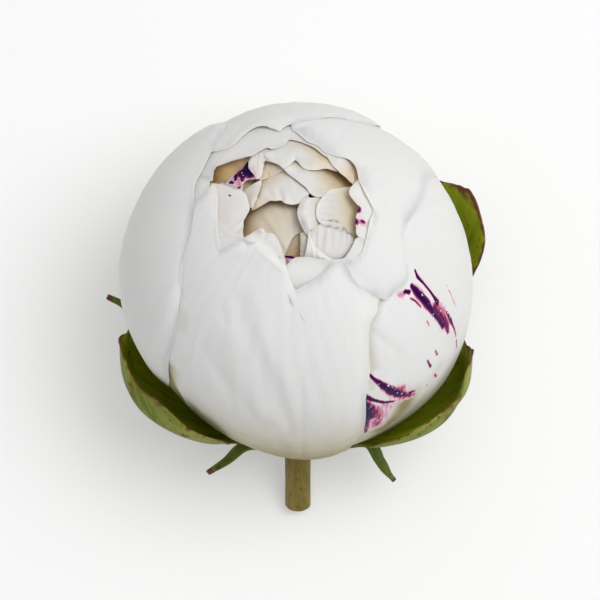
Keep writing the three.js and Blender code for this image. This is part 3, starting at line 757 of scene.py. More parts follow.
# %% Heart petals
HEART = {
    "hood_top": (
        [(-6.4, 15, 34.1), (-3.8, 16.1, 33.9), (-1.7, 17.9, 32.5), (0.9, 18.5, 31.5), (3.2, 18.4, 31.1),
         (4.9, 17.1, 31.6), (6.6, 15, 32.4), (8.3, 12, 33.4)],
        [(-6.8, 12.4, 35.2), (-4.9, 12.1, 35.7), (-2.5, 11.9, 36.1), (-0.2, 13, 35.8), (2.1, 12.1, 35.8),
         (4.2, 11.1, 35.7), (6.2, 10.3, 35.4), (8.1, 9.3, 35.1)],
        [(-7.4, 11.4, 34.7), (-5.9, 10.7, 35.3), (-4.2, 9.7, 35.9), (-3, 8.5, 36.2), (-1.7, 9.5, 36.1),
         (-0.5, 10.7, 35.8), (0.6, 9.2, 36.2), (1.9, 8.2, 36.3), (3.8, 8.2, 36.1), (5.7, 8.9, 35.6),
         (7, 8.8, 35.2), (8.3, 8.4, 35)],
    ),
    "hood_right": (
        [(6, 16.3, 32.2), (8.4, 16, 31.8), (10.7, 16.3, 30.5), (12.9, 16.1, 29.4), (14.2, 13.8, 29.7),
         (14.2, 11, 30.7), (13.6, 7.9, 31.9)],
        [(5.8, 13.7, 34.7), (7.4, 12, 35.4), (9.1, 11.1, 35.3), (10.4, 10.5, 34.6), (11.3, 9.4, 34),
         (11.9, 8.1, 33.8), (12.3, 6.4, 33.8)],
        [(5.5, 13, 35.2), (6.4, 11.4, 35.6), (7.4, 9.3, 35.9), (8.9, 7.9, 35.6), (10.4, 6.9, 34.8),
         (11.4, 6, 34.2), (11.9, 5.3, 33.9)],
    ),
    "pink_tip": (
        [(-10, 13.1, 33.1), (-9.2, 14.6, 32.9), (-8.1, 15.1, 33), (-6.6, 16.2, 32.8), (-4.7, 14.9, 33.7)],
        [(-10.5, 10.5, 34.5), (-9.4, 11.5, 34.5), (-8.2, 11.9, 34.7), (-7, 12.5, 34.8), (-6, 12.5, 34.9)],
        [(-10.4, 9.8, 34.1), (-9.5, 8, 34.7), (-8.7, 6.6, 35.2), (-7.9, 7.3, 35.5), (-7.5, 9.1, 35.4),
         (-7.1, 10.9, 35.1), (-6.4, 11.5, 35.2)],
    ),
    "shaded_hood": (
        [(-9.2, 9, 32.1), (-8.6, 12.6, 31.7), (-6, 14, 32), (-3.4, 12.4, 33), (-1.7, 10.5, 33.8)],
        [(-8.3, 7.1, 34.2), (-7.4, 10.1, 33.6), (-6.2, 10.8, 33.7), (-4.5, 10, 34.2), (-2.8, 9.3, 34.6)],
        [(-7.8, 6.8, 34.2), (-7, 7, 34.3), (-5.9, 7.5, 34.4), (-4.7, 8, 34.5), (-3, 8.8, 34.5)],
    ),
    "left_inner": (
        [(-11.7, 5.2, 32.1), (-12.1, 4.1, 32.2), (-12.1, 3.1, 32.3), (-11.9, 1.8, 32.5),
         (-11.2, 0.4, 32.7)],
        [(-9.5, 5.9, 33.9), (-9.8, 4.5, 34), (-10, 3, 34.1), (-10.1, 1.5, 34.2), (-10.1, 0.1, 34.2)],
        [(-7.7, 6.8, 34.5), (-7.8, 5.3, 34.7), (-8.2, 3.6, 34.9), (-8.8, 1.9, 34.9), (-9.6, -0.1, 34.7)],
    ),
    "hood_middle": (
        [(-10.2, 2.5, 31.6), (-9.4, 5.9, 31.6), (-8.3, 9.3, 31.5), (-6, 10.7, 32.1), (-3.2, 11.3, 32.7),
         (-0.2, 7.9, 34.1), (2.5, 4.2, 34.7)],
        [(-9.7, 1.1, 32.9), (-8.5, 2.9, 33.8), (-7, 4.6, 34.7), (-4.7, 5.3, 35.4), (-2.3, 5.1, 35.8),
         (0, 4.1, 35.9), (2.3, 2.7, 35.5)],
        [(-9.9, 0.4, 32.5), (-8.7, 0.5, 33.2), (-7.2, 1.1, 33.9), (-5.9, 1.6, 34.6), (-4.6, 1.4, 34.9),
         (-3.6, 1.5, 35), (-2.7, 0.7, 35.1), (-1.5, 0.4, 35.2), (0, 0.6, 35.1), (0.8, 1.2, 35.1),
         (1.7, 2.4, 34.9)],
    ),
    "band": (
        [(-3.8, 11.2, 34.3), (-0.6, 13.1, 33.5), (1.9, 10.5, 34.6), (4.7, 12, 32.4), (8, 13.9, 29.1),
         (11, 12.4, 27.9), (13.1, 9.1, 28), (14.1, 4.2, 28.9), (14, -0.7, 29.4), (13.1, -5.1, 29.6)],
        [(-3.2, 9.2, 35.6), (-1.3, 8.5, 36.1), (1.1, 7.3, 36.3), (3.6, 6.3, 36.1), (5.7, 5.2, 35.4),
         (7.8, 4.5, 34), (9.5, 2.6, 33.1), (10.6, 0.1, 32.4), (11.2, -2.6, 32), (11.4, -5.2, 31.6)],
        [(-3.2, 8.7, 35.7), (-2.1, 7.4, 36.1), (-0.8, 6.1, 36.3), (0.4, 4.9, 36.4), (1.7, 3.8, 36.3),
         (2.5, 2.7, 36), (3.8, 2, 35.5), (5.7, 2.1, 34.9), (7.2, 1.6, 33.6), (8.2, -0.1, 32.8),
         (9.1, -2.1, 32.1), (10.1, -4.1, 31.3)],
    ),
    "lobe_right": (
        [(13.6, 7.3, 30.8), (13.8, 3.5, 31.4), (13.8, -0.2, 31.6), (13.5, -3.7, 31.5), (12.6, -6.1, 31.5)],
        [(8.5, 4.6, 34.6), (8.4, 2.2, 34.8), (8.4, -0.8, 34.9), (8.8, -3.5, 34.6), (9.4, -5.6, 34.2)],
        [(6.1, 3.3, 35.4), (4.8, 1.4, 35.7), (4, -0.3, 35.9), (3.8, -2, 35.8), (4.2, -3.6, 35.7),
         (5.2, -4.8, 35.4)],
    ),
    "lobe_left": (
        [(5.9, 3.1, 33.9), (5.9, 1.1, 34.1), (5.7, -0.8, 34.1), (5.5, -2.7, 34), (5, -4.9, 33.7)],
        [(2.7, 1.6, 35.8), (2.1, -0.1, 35.9), (1.9, -2, 35.9), (2.1, -3.8, 35.6), (2.7, -5.6, 35)],
        [(2.1, 2.4, 35.5), (1.1, 1.4, 35.4), (0.3, 0, 35.3), (0, -1.4, 35.2), (0.2, -3, 35),
         (0.6, -4.3, 34.7), (1.3, -5.6, 34.5), (2.1, -6.6, 34.2)],
    ),
    "lobe_front": (
        [(2.1, -11.6, 31.9), (5, -12.5, 31), (8.4, -12.1, 30.2), (11.8, -10.3, 29.5), (14.4, -6.5, 29.4)],
        [(2.7, -8.8, 34.8), (4.6, -10.2, 34.8), (7.1, -10.8, 34.5), (9.8, -9.9, 33.8), (11.8, -7.7, 33.1)],
        [(2.5, -5.9, 34.6), (3.6, -5.1, 35), (4.8, -4.4, 35.3), (6.3, -3.6, 35.3), (7.6, -3, 35.1),
         (8.8, -3.6, 34.6), (9.7, -4.6, 34.1), (10.5, -5.3, 33.4), (11.6, -5.6, 32.6)],
    ),
    "filler_right": (
        [(15.7, -1, 29.9), (15.7, -4.6, 29.6), (13.5, -8.5, 29.8)],
        [(11.6, -2.9, 32.7), (12.2, -5.7, 32.1), (10.9, -8.7, 31.9)],
        [(8.9, -2.7, 33.1), (9.5, -5.7, 32.6), (8.4, -8.4, 32.3)],
    ),
    "ridge_front": (
        [(0.8, -12.5, 31.8), (3.6, -13.4, 31.3), (6.3, -13.2, 30.9), (9, -11.9, 30.8)],
        [(1.7, -10.5, 35.3), (3.3, -11.5, 35.3), (5, -12.2, 35), (7.1, -12.7, 34.2)],
        [(2.3, -6.2, 35.6), (2.8, -7.9, 35.6), (3.4, -9.4, 35.5), (4.5, -10.6, 35.3), (5.8, -11.6, 34.9),
         (7.3, -12.3, 34.3)],
    ),
    "grey_lobe": (
        [(3.2, -3.6, 31.2), (3.4, -5.8, 30.9), (3.4, -7.9, 30.4), (3.2, -10.4, 29.7)],
        [(1.7, -5.2, 33.4), (1.8, -7.2, 33.1), (1.8, -9.1, 32.6), (1.7, -11.5, 31.8)],
        [(0.5, -5.4, 33.1), (0.6, -7.3, 32.8), (0.5, -9, 32.4), (0.4, -11.3, 31.5)],
    ),
    "deep_right": (
        [(2.1, -2, 29.3), (2.3, -5.2, 28.8), (2.1, -7.3, 28.4), (1.7, -10.2, 27.5)],
        [(-0.2, -3.9, 31), (0, -6.3, 30.6), (-0.2, -8.2, 30.1), (-0.4, -11.1, 29.2)],
        [(-3.2, -4.3, 29.9), (-3.8, -6.5, 29.5), (-4.2, -8.5, 28.9), (-4.6, -10.5, 28.1)],
    ),
    "dome": (
        [(-12.8, -3, 26.5), (-12.2, 0.7, 26.8), (-10.5, 4, 27.1), (-7.9, 5.8, 27.7), (-4.7, 6.6, 28.6),
         (-1.7, 6, 29.1), (1.3, 5.2, 29.3)],
        [(-10.4, -5.3, 30), (-9.3, -2.6, 31.1), (-7.6, -0.8, 31.9), (-5.3, 0.1, 32.5), (-2.7, 0.2, 32.7),
         (-0.4, -0.2, 32.6), (1.3, -1.7, 32.1)],
        [(-6.3, -8.3, 30.2), (-4, -10.4, 30.2), (-2.7, -9.1, 30.9), (-2.1, -7.9, 31.3), (-1.5, -6.4, 31.5),
         (-0.7, -5.2, 31.7), (0.4, -4.6, 31.7), (2.5, -4.2, 31.4)],
    ),
    "notch_piece": (
        [(-3.6, -13.5, 29.3), (-1.7, -13.6, 29.5), (0.4, -12.5, 30)],
        [(-3.1, -12.1, 32), (-1.7, -12, 32.3), (0, -11.6, 32.4)],
        [(-3, -10.5, 32.4), (-2.1, -10.3, 32.5), (-0.6, -10.7, 32.5)],
    ),
    "stained": (
        [(-18, 7.8, 27.3), (-16.5, 6.7, 28.7), (-14.9, 5.8, 30), (-13.6, 4.9, 31), (-12.5, 4.1, 31.8),
         (-11.8, 4.6, 32.2)],
        [(-17.1, 7.7, 29.5), (-15.6, 7.6, 30.6), (-14.1, 7.6, 31.6), (-12.8, 7.5, 32.4),
         (-11.9, 7.4, 32.7), (-11.2, 7.3, 32.9)],
        [(-16.9, 8.8, 29.1), (-15.2, 9.2, 30.2), (-13.5, 9.9, 31.1), (-12.5, 10.6, 31.6),
         (-11.6, 11.6, 31.8), (-10.8, 12.5, 32), (-9.6, 11.3, 32.8), (-8.7, 9.1, 33.7), (-8.4, 7.2, 34.2)],
    ),
    # A sheet deep in the gap at the top left, coloured all over with painted tan shade.
    "shaded_gap_wall": (
        [(-22.4, 13.7, 21.4), (-22.4, 27.2, 5.2), (-18.3, 30.1, 5), (-13.4, 32.6, 5.1), (-9.1, 25.6, 23.1)],
        [(-18.1, 8.4, 27.9), (-19.2, 15.3, 27), (-16.5, 16.8, 28), (-13.4, 17.2, 29.4),
         (-10.3, 15.9, 31.3)],
        [(-9.5, 2.6, 31.9), (-9.1, 4.5, 31.8), (-8.7, 6.9, 31.5), (-8.3, 8.2, 31.3), (-7.5, 9, 31.3)],
    ),
    "flap": (
        [(-19.2, 8.1, 30.6), (-18.9, 4.5, 31.7), (-18.7, 0.6, 32.4), (-18.6, -3, 32.4), (-18.1, -6, 32.3),
         (-17.2, -8.8, 32)],
        [(-15.3, 6.2, 32.9), (-15, 3, 33.8), (-14.7, -0.4, 34.2), (-14.5, -3.3, 34.2), (-14.3, -6, 34),
         (-14.5, -8.4, 33.4)],
        [(-12.9, 4.5, 34.3), (-11.6, 3.6, 34.9), (-10.9, 2.6, 35.3), (-10.5, 0.9, 35.4),
         (-10.2, -0.7, 35.5), (-10.5, -1.8, 35.5), (-11.1, -2.8, 35.5), (-11.5, -4.1, 35.3),
         (-11.6, -5.5, 35.2), (-11.4, -7.4, 34.8)],
    ),
}

# %% [markdown]
# Where the opening is widest, one could look past these petals into the bloom. So four more stand between
# them and the second petals. Their rails are made by rule too.

# %% Inner petals
# How far they stand from the opening's axis, in degrees, round the opening.
WALL_LEAN = [(-78, 27.5), (-60, 26.5), (-40, 26), (-26, 28), (-20, 29.5), (-2, 29.5), (8, 25), (40, 23.8),
             (90, 24.3), (118, 26.5), (130, 28)]
WALLS = [(-80, -18, 36.2), (-36, 42, 36.9), (18, 92, 36.4), (72, 130, 36.9)]


def inner_wall(start, end, top):
    """Rails of a petal that stands up from the core, from start to end degrees round the opening."""
    turn, across = np.linspace(start, end, 9), np.linspace(-1, 1, 9)
    rails = []
    for radius, further, droop in ((28.5, 4, 0), (33, 1.5, 2.0), (top, 0, 4.5)):
        lean, way = np.radians(through(WALL_LEAN)(turn) + further), np.radians(turn)
        along = np.stack([np.sin(lean) * np.sin(way), -np.sin(lean) * np.cos(way), np.cos(lean)], -1)
        rails.append(along * (radius - droop * np.abs(across) ** 3)[:, None])
    return rails


for number, form in enumerate(WALLS, 1):
    HEART["wall_%d" % number] = inner_wall(*form)
print("petals in the heart:", len(HEART))

# %% Colours of the heart
# How much cream and painted tan shade each petal gets from left to right, at its root, its belly and its
# rim. The painted shade is deepest where a petal dives into the gaps under its neighbours.
HEART_CREAM_AND_SHADE = {
    "hood_top": ((0.2, 0.3, 1, 1, 0.8), (0, 0, 0.15, 0.6, 0.4), (0, 0, 0.05, 0.2, 0.2)),
    "hood_right": ((0.2, 0.4, 0.9, 0.9), (0, 0.1, 0.6, 0.6), (0, 0.1, 0.5, 0.5)),
    "pink_tip": ((0.3, 0.2), (0.1, 0.1), (0.05, 0.05)),
    "shaded_hood": ((1, 1), (0.6, 0.5), (0.5, 0.4)),
    "left_inner": ((0.6, 0.6), (0.25, 0.3), (0.15, 0.15)),
    "hood_middle": ((0.9, 0.8, 0.6, 0.3), (0.65, 0.35, 0.1, 0.05), (0.5, 0.15, 0, 0)),
    "band": ((0.6, 1, 1, 1, 0.9), (0.1, 0.1, 0.6, 0.75, 0.6), (0, 0, 0.05, 0.35, 0.5)),
    "lobe_right": ((0.9, 0.9), (0.35, 0.35), (0, 0)),
    "filler_right": ((0.8, 0.8), (0.55, 0.55), (0.5, 0.5)),
    "lobe_left": ((0.5, 0.5), (0.08, 0.08), (0, 0)),
    "lobe_front": ((0.2, 0.3), (0.05, 0.1), (0, 0.1)),
    "ridge_front": ((0.2, 0.2), (0, 0), (0, 0)),
    "grey_lobe": ((0.4, 0.4), (0.2, 0.2), (0.2, 0.2)),
    "deep_right": ((0.9, 1), (0.6, 0.9), (0.5, 0.8)),
    "dome": ((0.9, 0.9, 0.8), (0.7, 0.5, 0.45), (0.3, 0.35, 0.4)),
    "notch_piece": ((0.3, 0.3), (0.1, 0.1), (0, 0)),
    "stained": ((0.7, 0.4), (0.15, 0.1), (0, 0)),
    "shaded_gap_wall": ((1, 1, 1), (1, 1, 0.8), (0.6, 0.7, 0.7)),
    "flap": ((0.15, 0.3), (0.05, 0), (0, 0)),
}
# The walls get painted tan shade toward their roots.
WALL_CREAM_AND_SHADE = ((0.5, 0.5), (0.1, 0.1), (0, 0))
# Crimson on four of them: lines in the opening's own frame, their half widths and their strength.
HEART_MARKS = {
    "stained": [
        ([(-11.9, 9.4), (-11.0, 9.5), (-10.2, 8.7)], (1.1, 1.3, 0.95)),
        ([(-11.0, 9.7), (-10.9, 12.0)], (0.9, 0.4)), ([(-10.2, 8.9), (-8.7, 8.0)], (0.6, 0.3)),
        ([(-11.7, 9.0), (-11.8, 7.6)], (0.8, 0.35)), ([(-12.4, 5.6), (-12.1, 5.4)], (0.6, 0.55), 0.9),
        ([(-13.2, 9.2), (-13.2, 8.0)], (0.4, 0.3)), ([(-14.3, 7.8), (-13.8, 7.4)], (0.4, 0.3), 0.8),
        ([(-12.8, 9.0), (-12.3, 6.0)], (1.4, 1.0), 0.42), ([(-9.6, 10.6), (-8.8, 8.2)], (1.2, 0.8), 0.42),
    ],
    "notch_piece": [([(-2.6, -10.2), (-1.6, -10.5), (-0.7, -10.9)], (0.5, 0.55, 0.4)),
                    ([(-2.3, -11.2), (-2.0, -11.9)], (0.9, 0.5), 0.45)],
    "pink_tip": [([(-9.6, 9.4), (-8.8, 7.3)], (1.6, 0.9), 0.3)],
    "flap": [([(-14.5, 3.3), (-14.2, 3.0)], (0.22, 0.16), 0.8)],
}

# %% Heart petals made
HEART_THICKNESS = 0.24
ROOT_LIMIT = 37.1  # radius under the second petals
RAIL_HEIGHTS = [0, 0.26, 0.42, 0.74, 1.0]  # v of the core, the lower stretch, the root, the belly, the rim
HIDDEN_ROWS = 0.22  # share of the rows of faces that goes to the part under the root


def evenly(rail):
    """A smooth curve along a rail's points, for t from 0 to 1."""
    return through(np.column_stack([np.linspace(0, 1, len(rail)), rail]))


def opening_frame(points):
    """Points given by the opening's own axes, in the bloom's frame."""
    a = math.radians(OPENING_LEAN)
    x, y, z = np.moveaxis(points, -1, 0)
    return np.stack([x, y * math.cos(a) - z * math.sin(a), y * math.sin(a) + z * math.cos(a)], -1)


def heart_petal(name, rails, seed, across=44, length=44):
    piece, u, v = flat_grid("heart_" + name, across, length)
    v = np.interp(v, [0, HIDDEN_ROWS, 1], [0, RAIL_HEIGHTS[2], 1])
    root, belly, rim = (np.array(rail, float) for rail in rails)
    root *= np.minimum(1, ROOT_LIMIT / np.linalg.norm(root, axis=1, keepdims=True))
    core_rail = np.column_stack([root[:, :2] * 0.35, np.full(len(root), 8.0)])
    t = np.linspace(0, 1, len(root))
    back = evenly(root)(t) - evenly(belly)(t)
    length_back = np.linalg.norm(back, axis=1, keepdims=True)
    lower = (root + back / length_back * np.minimum(0.6 * length_back, 2.5)) * 0.96
    rows = np.stack([evenly(rail)(u[0]) for rail in (core_rail, lower, root, belly, rim)])
    points = through(np.column_stack([RAIL_HEIGHTS, rows.reshape(5, -1)]))(v[:, 0])
    points = points.reshape(len(v), u.shape[1], 3)
    normal = np.cross(np.gradient(points, axis=1), np.gradient(points, axis=0))
    normal /= np.linalg.norm(normal, axis=-1, keepdims=True) + 1e-9
    crumple = 0.13 * waves(seed, points[..., 0] / 10, points[..., 1] / 10, 6, 0.6, 1.6)
    crumple = crumple + 0.08 * waves(seed + 1, u * 2.2, v * 0.7, 7, 1, 3)
    points = points + normal * (crumple * smooth((v - 0.5) / 0.4))[..., None]
    place(piece, opening_frame(points))
    tones = [np.interp(u[0], np.linspace(0, 1, len(t)), t) for t in HEART_CREAM_AND_SHADE.get(name, WALL_CREAM_AND_SHADE)]
    # The rows under the root, down to the core, get full painted tan shade.
    tones = np.stack([np.ones(len(u[0]))] * 2 + tones)
    paint(piece, "cream_and_painted_shade", through(np.column_stack([RAIL_HEIGHTS, tones]))(v[:, 0]))
    stain = marks(points[..., 1], points[..., 0], HEART_MARKS.get(name, []), flat=True)
    paint(piece, "stain", stain * smooth((v - 0.55) / 0.05))
    apply(piece, "SOLIDIFY", thickness=HEART_THICKNESS * MM, offset=0, use_even_offset=False)
    return piece


heart_petals = [heart_petal(name, rails, 200 + i) for i, (name, rails) in enumerate(HEART.items())]
print("faces of one heart petal:", len(heart_petals[0].data.polygons))

# %% Core of the heart
deselect()
bpy.ops.mesh.primitive_uv_sphere_add(segments=48, ring_count=32, radius=1)
core = bpy.context.active_object
ball = points_of(core)
spread = np.hypot(ball[:, 0], ball[:, 1])
turn_x, turn_y = ball[:, 0] / (spread + 1e-9), ball[:, 1] / (spread + 1e-9)
height = through([(-1, -31.65), (-0.6, -22), (0, -4), (0.5, 14), (0.85, 27), (1, 30.6)])(ball[:, 2])
girth = through([(-31.65, 5), (-26, 6), (-14, 14), (-3, 22), (8, 27.5), (18, 24.5), (27, 14.5),
                 (30.6, 0.5)])(height)
ring = girth * np.where(spread > 0.02, 1, 0)  # the poles stay closed
ring = ring + 0.3 * waves(9, turn_x * 2, height / 20, 6, 0.8, 2.5) * smooth(ring / 10)
lean = np.radians(OPENING_LEAN * smooth((height + 10) / 30))
place(core, np.stack([turn_x * ring, turn_y * ring * np.cos(lean) - height * np.sin(lean),
                      turn_y * ring * np.sin(lean) + height * np.cos(lean)], -1))
# The core gets full painted tan shade.
paint(core, "cream_and_painted_shade", np.ones(len(ball)))
paint(core, "stain", np.zeros(len(ball)))

only(core)
for petal in heart_petals:
    petal.select_set(True)
bpy.ops.object.join()
heart = bpy.context.active_object
heart.name = heart.data.name = "heart_fine"
finish(heart, [petal_heart], "heart_cream", "heart")
print("heart faces:", len(heart.data.polygons))

# %% [markdown]
# ## Sepals
#
# A peony's sepals are leathery cups: bright yellow-green and ribbed inside, duller and speckled outside,
# with a thin reddish-brown rim that is dry and a little torn. Solidify gives the inner face and the rim
# materials of their own.

# %% Leaf materials
DRY_RED = "#6c4030"


def leaf_material(name, colours, spot, roughness, rib_scale=26, spots=0.62):
    """A leaf's skin, from dark to pale colours. There are more specks where spots is lower."""
    material, tree = new_material(name)
    uv = add(tree, "UVMap").outputs["UV"]
    here = add(tree, "TexCoord").outputs["Object"]
    redness = add(tree, "Attribute", attribute_name="redness").outputs["Fac"]
    # Ribs: 26 across a sepal is one in about 1.5 mm.
    stretched = add(tree, "Mapping", {"Vector": uv, "Scale": (rib_scale, 1.6, 1)}).outputs["Vector"]
    ribs = add(tree, "TexNoise", {"Vector": stretched, "Scale": 1.0, "Detail": 5.0}).outputs["Fac"]
    patches = add(tree, "TexNoise", {"Vector": here, "Scale": 90.0, "Detail": 4.0}).outputs["Fac"]
    both = add(tree, "Math", {0: ribs, 1: 0.55}, operation="MULTIPLY").outputs[0]
    both = add(tree, "Math", {0: patches, 1: 0.45, 2: both}, operation="MULTIPLY_ADD").outputs[0]
    ground = add(tree, "ValToRGB", {"Fac": both})
    stops(ground, *zip((0.32, 0.5, 0.68), colours))
    # Specks, one or two millimetres apart.
    specks = add(tree, "TexNoise", {"Vector": here, "Scale": 700.0, "Detail": 3.0}).outputs["Fac"]
    speckled = add(tree, "ValToRGB", {"Fac": specks})
    stops(speckled, (spots, 0.0), (spots + 0.08, 1.0))
    dotted = add(tree, "Mix", {0: speckled.outputs["Color"], 6: ground.outputs["Color"], 7: linear(spot)},
                 data_type="RGBA")
    # Dry red tissue at the edges, in patches.
    uneven = add(tree, "Math", {0: patches, 1: 1.2, 2: -0.6}, operation="MULTIPLY_ADD").outputs[0]
    edge = add(tree, "Math", {0: redness, 1: uneven}, operation="ADD").outputs[0]
    reddened = add(tree, "ValToRGB", {"Fac": edge})
    stops(reddened, (0.45, 0.0), (0.8, 1.0))
    colour = add(tree, "Mix", {0: reddened.outputs["Color"], 6: dotted.outputs[2], 7: linear(DRY_RED)},
                 data_type="RGBA")
    relief = add(tree, "Bump", {"Height": both, "Strength": 0.5, "Distance": 0.0006})
    shader = add(tree, "BsdfPrincipled", {
        "Base Color": colour.outputs[2],
        "Roughness": roughness,
        "Normal": relief.outputs["Normal"],
        "IOR": 1.42,
        "Specular IOR Level": 0.2,
        "Subsurface Weight": 0.12,
        "Subsurface Radius": (0.6, 1.0, 0.3),
        "Subsurface Scale": 0.001,
    })
    add(tree, "OutputMaterial", {"Surface": shader.outputs["BSDF"]})
    return material


sepal_inner = leaf_material("sepal_inner_face", ("#77840a", "#95a410", "#abb92a"), "#5f6210", 0.5)
sepal_outer = leaf_material("sepal_outer_face", ("#5d681c", "#7a8430", "#9d9a55"), "#6d4a34", 0.55,
                            spots=0.58)
sepal_rim = leaf_material("sepal_dry_rim", ("#6b4a2c", "#8d7646", "#a89c66"), "#4d2a1a", 0.65)
bract_green = leaf_material("bract_leaf", ("#46541a", "#64702c", "#8b9150"), "#4a4a22", 0.5)
stem_green = leaf_material("cut_stem_skin", ("#665c28", "#786a30", "#8f7f4a"), "#6b4a2c", 0.5, 40)
print("nodes in a leaf material:", len(sepal_inner.node_tree.nodes))

# %% [markdown]
# Each sepal is given as the petals are, by two sides and a rim, here with a distance from the ball's
# centre as well. Between its edges, which hug the bloom, it bulges away from the petals.

# %% Sepals
SEPAL_FOOT, SEPAL_THICKNESS = 8.5, 0.7
SEPAL_RIM_SHARE, SEPAL_THINNED = 0.45, 3
# For each: its left side, its right side, its rim, and how far it bulges.
SEPALS = {
    "left": (
        [(SEPAL_FOOT, -92, 41.5), (25, -104, 40.2), (45, -110, 40.4), (66, -108, 41.2)],
        [(SEPAL_FOOT, -58, 41.3), (25, -54, 40), (35, -44, 39.4), (40, -39.5, 39.2), (45, -37, 39.3),
         (50, -37, 39.9), (55.2, -38.2, 40.9), (57.5, -41.8, 41.4), (60, -45.3, 41.6), (64.1, -49.2, 41.7),
         (66.5, -55, 41.8)],
        [(66, -108, 41), (68.3, -99, 41), (70, -92.8, 41.1), (73.5, -84, 41.3), (75.2, -76, 41.5),
         (73, -72, 41.9), (70.3, -69.7, 42.1), (67.6, -64.5, 42.2), (66.3, -61, 42), (66.5, -55, 41.8)],
        3.5,
    ),
    "right": (
        [(SEPAL_FOOT, 58, 41.3), (25, 52, 40.2), (35, 43, 39.8), (41, 39, 39.9), (45.7, 39.1, 40.4),
         (49.1, 41, 41.2), (54, 42.9, 42.2), (58.9, 46.2, 43), (61.2, 49.1, 43.5), (63.9, 53, 44),
         (65.6, 57.1, 44.2)],
        [(SEPAL_FOOT, 90, 41.5), (25, 102, 40.4), (45, 106, 40.8), (63, 104, 41.6)],
        [(65.6, 57.1, 44.1), (66.6, 62.6, 44), (67.3, 66.9, 43.5), (69.4, 68.3, 42.6), (74.6, 68, 42),
         (72.5, 77, 41.4), (66.8, 89.6, 41.3), (65.4, 95.5, 41.4), (63, 104, 41.4)],
        3.5,
    ),
    "right_rear": (
        [(SEPAL_FOOT, 112, 41.5), (40, 118, 41), (60, 120, 41.6), (72, 117, 42.4), (81, 110, 43)],
        [(SEPAL_FOOT, 146, 41.5), (40, 152, 41.8), (70, 154, 43), (88, 152, 43.5)],
        [(81, 110, 43), (94, 107, 44), (101, 109.5, 44.4), (107, 113.2, 44.6), (106.5, 120, 44.4),
         (104.6, 128.6, 44), (99, 140, 44), (88, 152, 43.5)],
        1.0,
    ),
    "back": (
        [(SEPAL_FOOT, 168, 41.5), (30, 160, 41.4), (60, 158, 42), (76, 160, 42.2)],
        [(SEPAL_FOOT, 216, 41.5), (30, 230, 41.4), (60, 233, 42), (76, 231, 42.2)],
        [(76, 160, 42.2), (88, 172, 42.6), (93, 186, 42.8), (94, 200, 42.8), (89, 216, 42.6),
         (76, 231, 42.2)],
        1.4,
    ),
    "left_rear": (
        [(SEPAL_FOOT, 220, 41.1), (40, 210, 41), (70, 209, 41.4), (82, 212, 41.4)],
        [(SEPAL_FOOT, 244, 41.1), (40, 247, 40.9), (70, 248, 41.2), (80, 246, 41.3)],
        [(82, 212, 41.4), (92, 220, 41.6), (96, 230, 41.6), (91, 240, 41.5), (80, 246, 41.3)],
        0.9,
    ),
}


def sepal(name, left, right, rim, bulge, seed):
    piece, u, v = flat_grid(name, 84, 96)
    theta, phi, radius = patch(left, right, rim, u, v)
    belly = (4 * u * (1 - u)) ** 0.7 * smooth((v - 0.15) / 0.65) * (1 - 0.9 * smooth((v - 0.78) / 0.22))
    plain = on_ball(theta, phi, radius, 0)
    borders = reach(plain, 1), reach(plain, 1, True), reach(plain, 0, True)
    border = np.minimum.reduce(borders)
    height = (radius + bulge * belly) / waist(theta, phi) + 0.1 * waves(seed, u, v, 6, 0.8, 3)
    torn = waves(seed + 1, plain[..., 0] / 9, plain[..., 2] / 9, 9, 0.8, 4) * smooth(v * 5)
    at_left, at_right, at_rim = (np.exp(-b) for b in borders)
    theta = theta + 0.25 * torn * at_rim
    phi = phi + 0.3 * torn * (at_left - at_right)
    # The lowest sepal is pressed flat on the surface.
    place(piece, on_ball(theta, phi, height, 0), lowest=SEPAL_THICKNESS * MM / 2)
    dry = 0.42 * np.exp(-border / 0.5) + 0.4 * torn * np.exp(-border / 1.4)
    paint(piece, "redness", np.clip(dry + 0.5 * smooth((v - 0.86) / 0.14), 0, 1))
    for material in (sepal_outer, sepal_inner, sepal_rim):
        piece.data.materials.append(material)
    thin_rim(piece, border, SEPAL_THINNED)
    apply(piece, "SOLIDIFY", thickness=SEPAL_THICKNESS * MM, offset=0, use_even_offset=False,
          material_offset=1, material_offset_rim=2, vertex_group="thick",
          thickness_vertex_group=SEPAL_RIM_SHARE)
    return piece


for i, (name, form) in enumerate(SEPALS.items()):
    piece = sepal("sepal_%s_fine" % name, *form, 300 + 7 * i)
    finish(piece, [], "sepal_green", "sepal_" + name)
    print(piece.name, "width", round(piece.dimensions.x / MM, 1), "mm")

# %% [markdown]
# ## Bracts
#
# Three narrow leaves grow on the stem just under the sepals. Each is a thick green strap, channelled
# along its length, that curls toward a dry reddish tip.

# %% Bracts
BRACT_THICKNESS = 0.9
# For each: its middle line, half its width along that, and the way that its back faces.
BRACTS = {
    "left": ([(-5.3, 1.4, -43.2), (-16, 6, -42.2), (-29, 13, -33), (-36.3, 16, -22), (-39.4, 17, -16.6),
              (-43.9, 17.6, -13.8)], [1.5, 1.8, 1.6, 1.2, 0.95, 0.35], (-0.9, 0.3, -0.3)),
    "front_left": ([(-4.9, -0.8, -42.9), (-9, -1, -42.4), (-12.9, -2.5, -42.1), (-16.2, -5, -44.1),
                    (-20.7, -8, -45.5)], [1.3, 1.5, 1.6, 1.2, 0.35], (0, 0, -1)),
    "front_right": ([(4.9, -0.8, -42.9), (10, -1, -42.5), (16.1, -1.5, -41.6), (18.7, -3.5, -45),
                     (20.4, -5, -47.1), (22.2, -6, -49.2)], [1.3, 1.4, 1.5, 1.2, 0.8, 0.3], (0.2, 0, -1)),
}


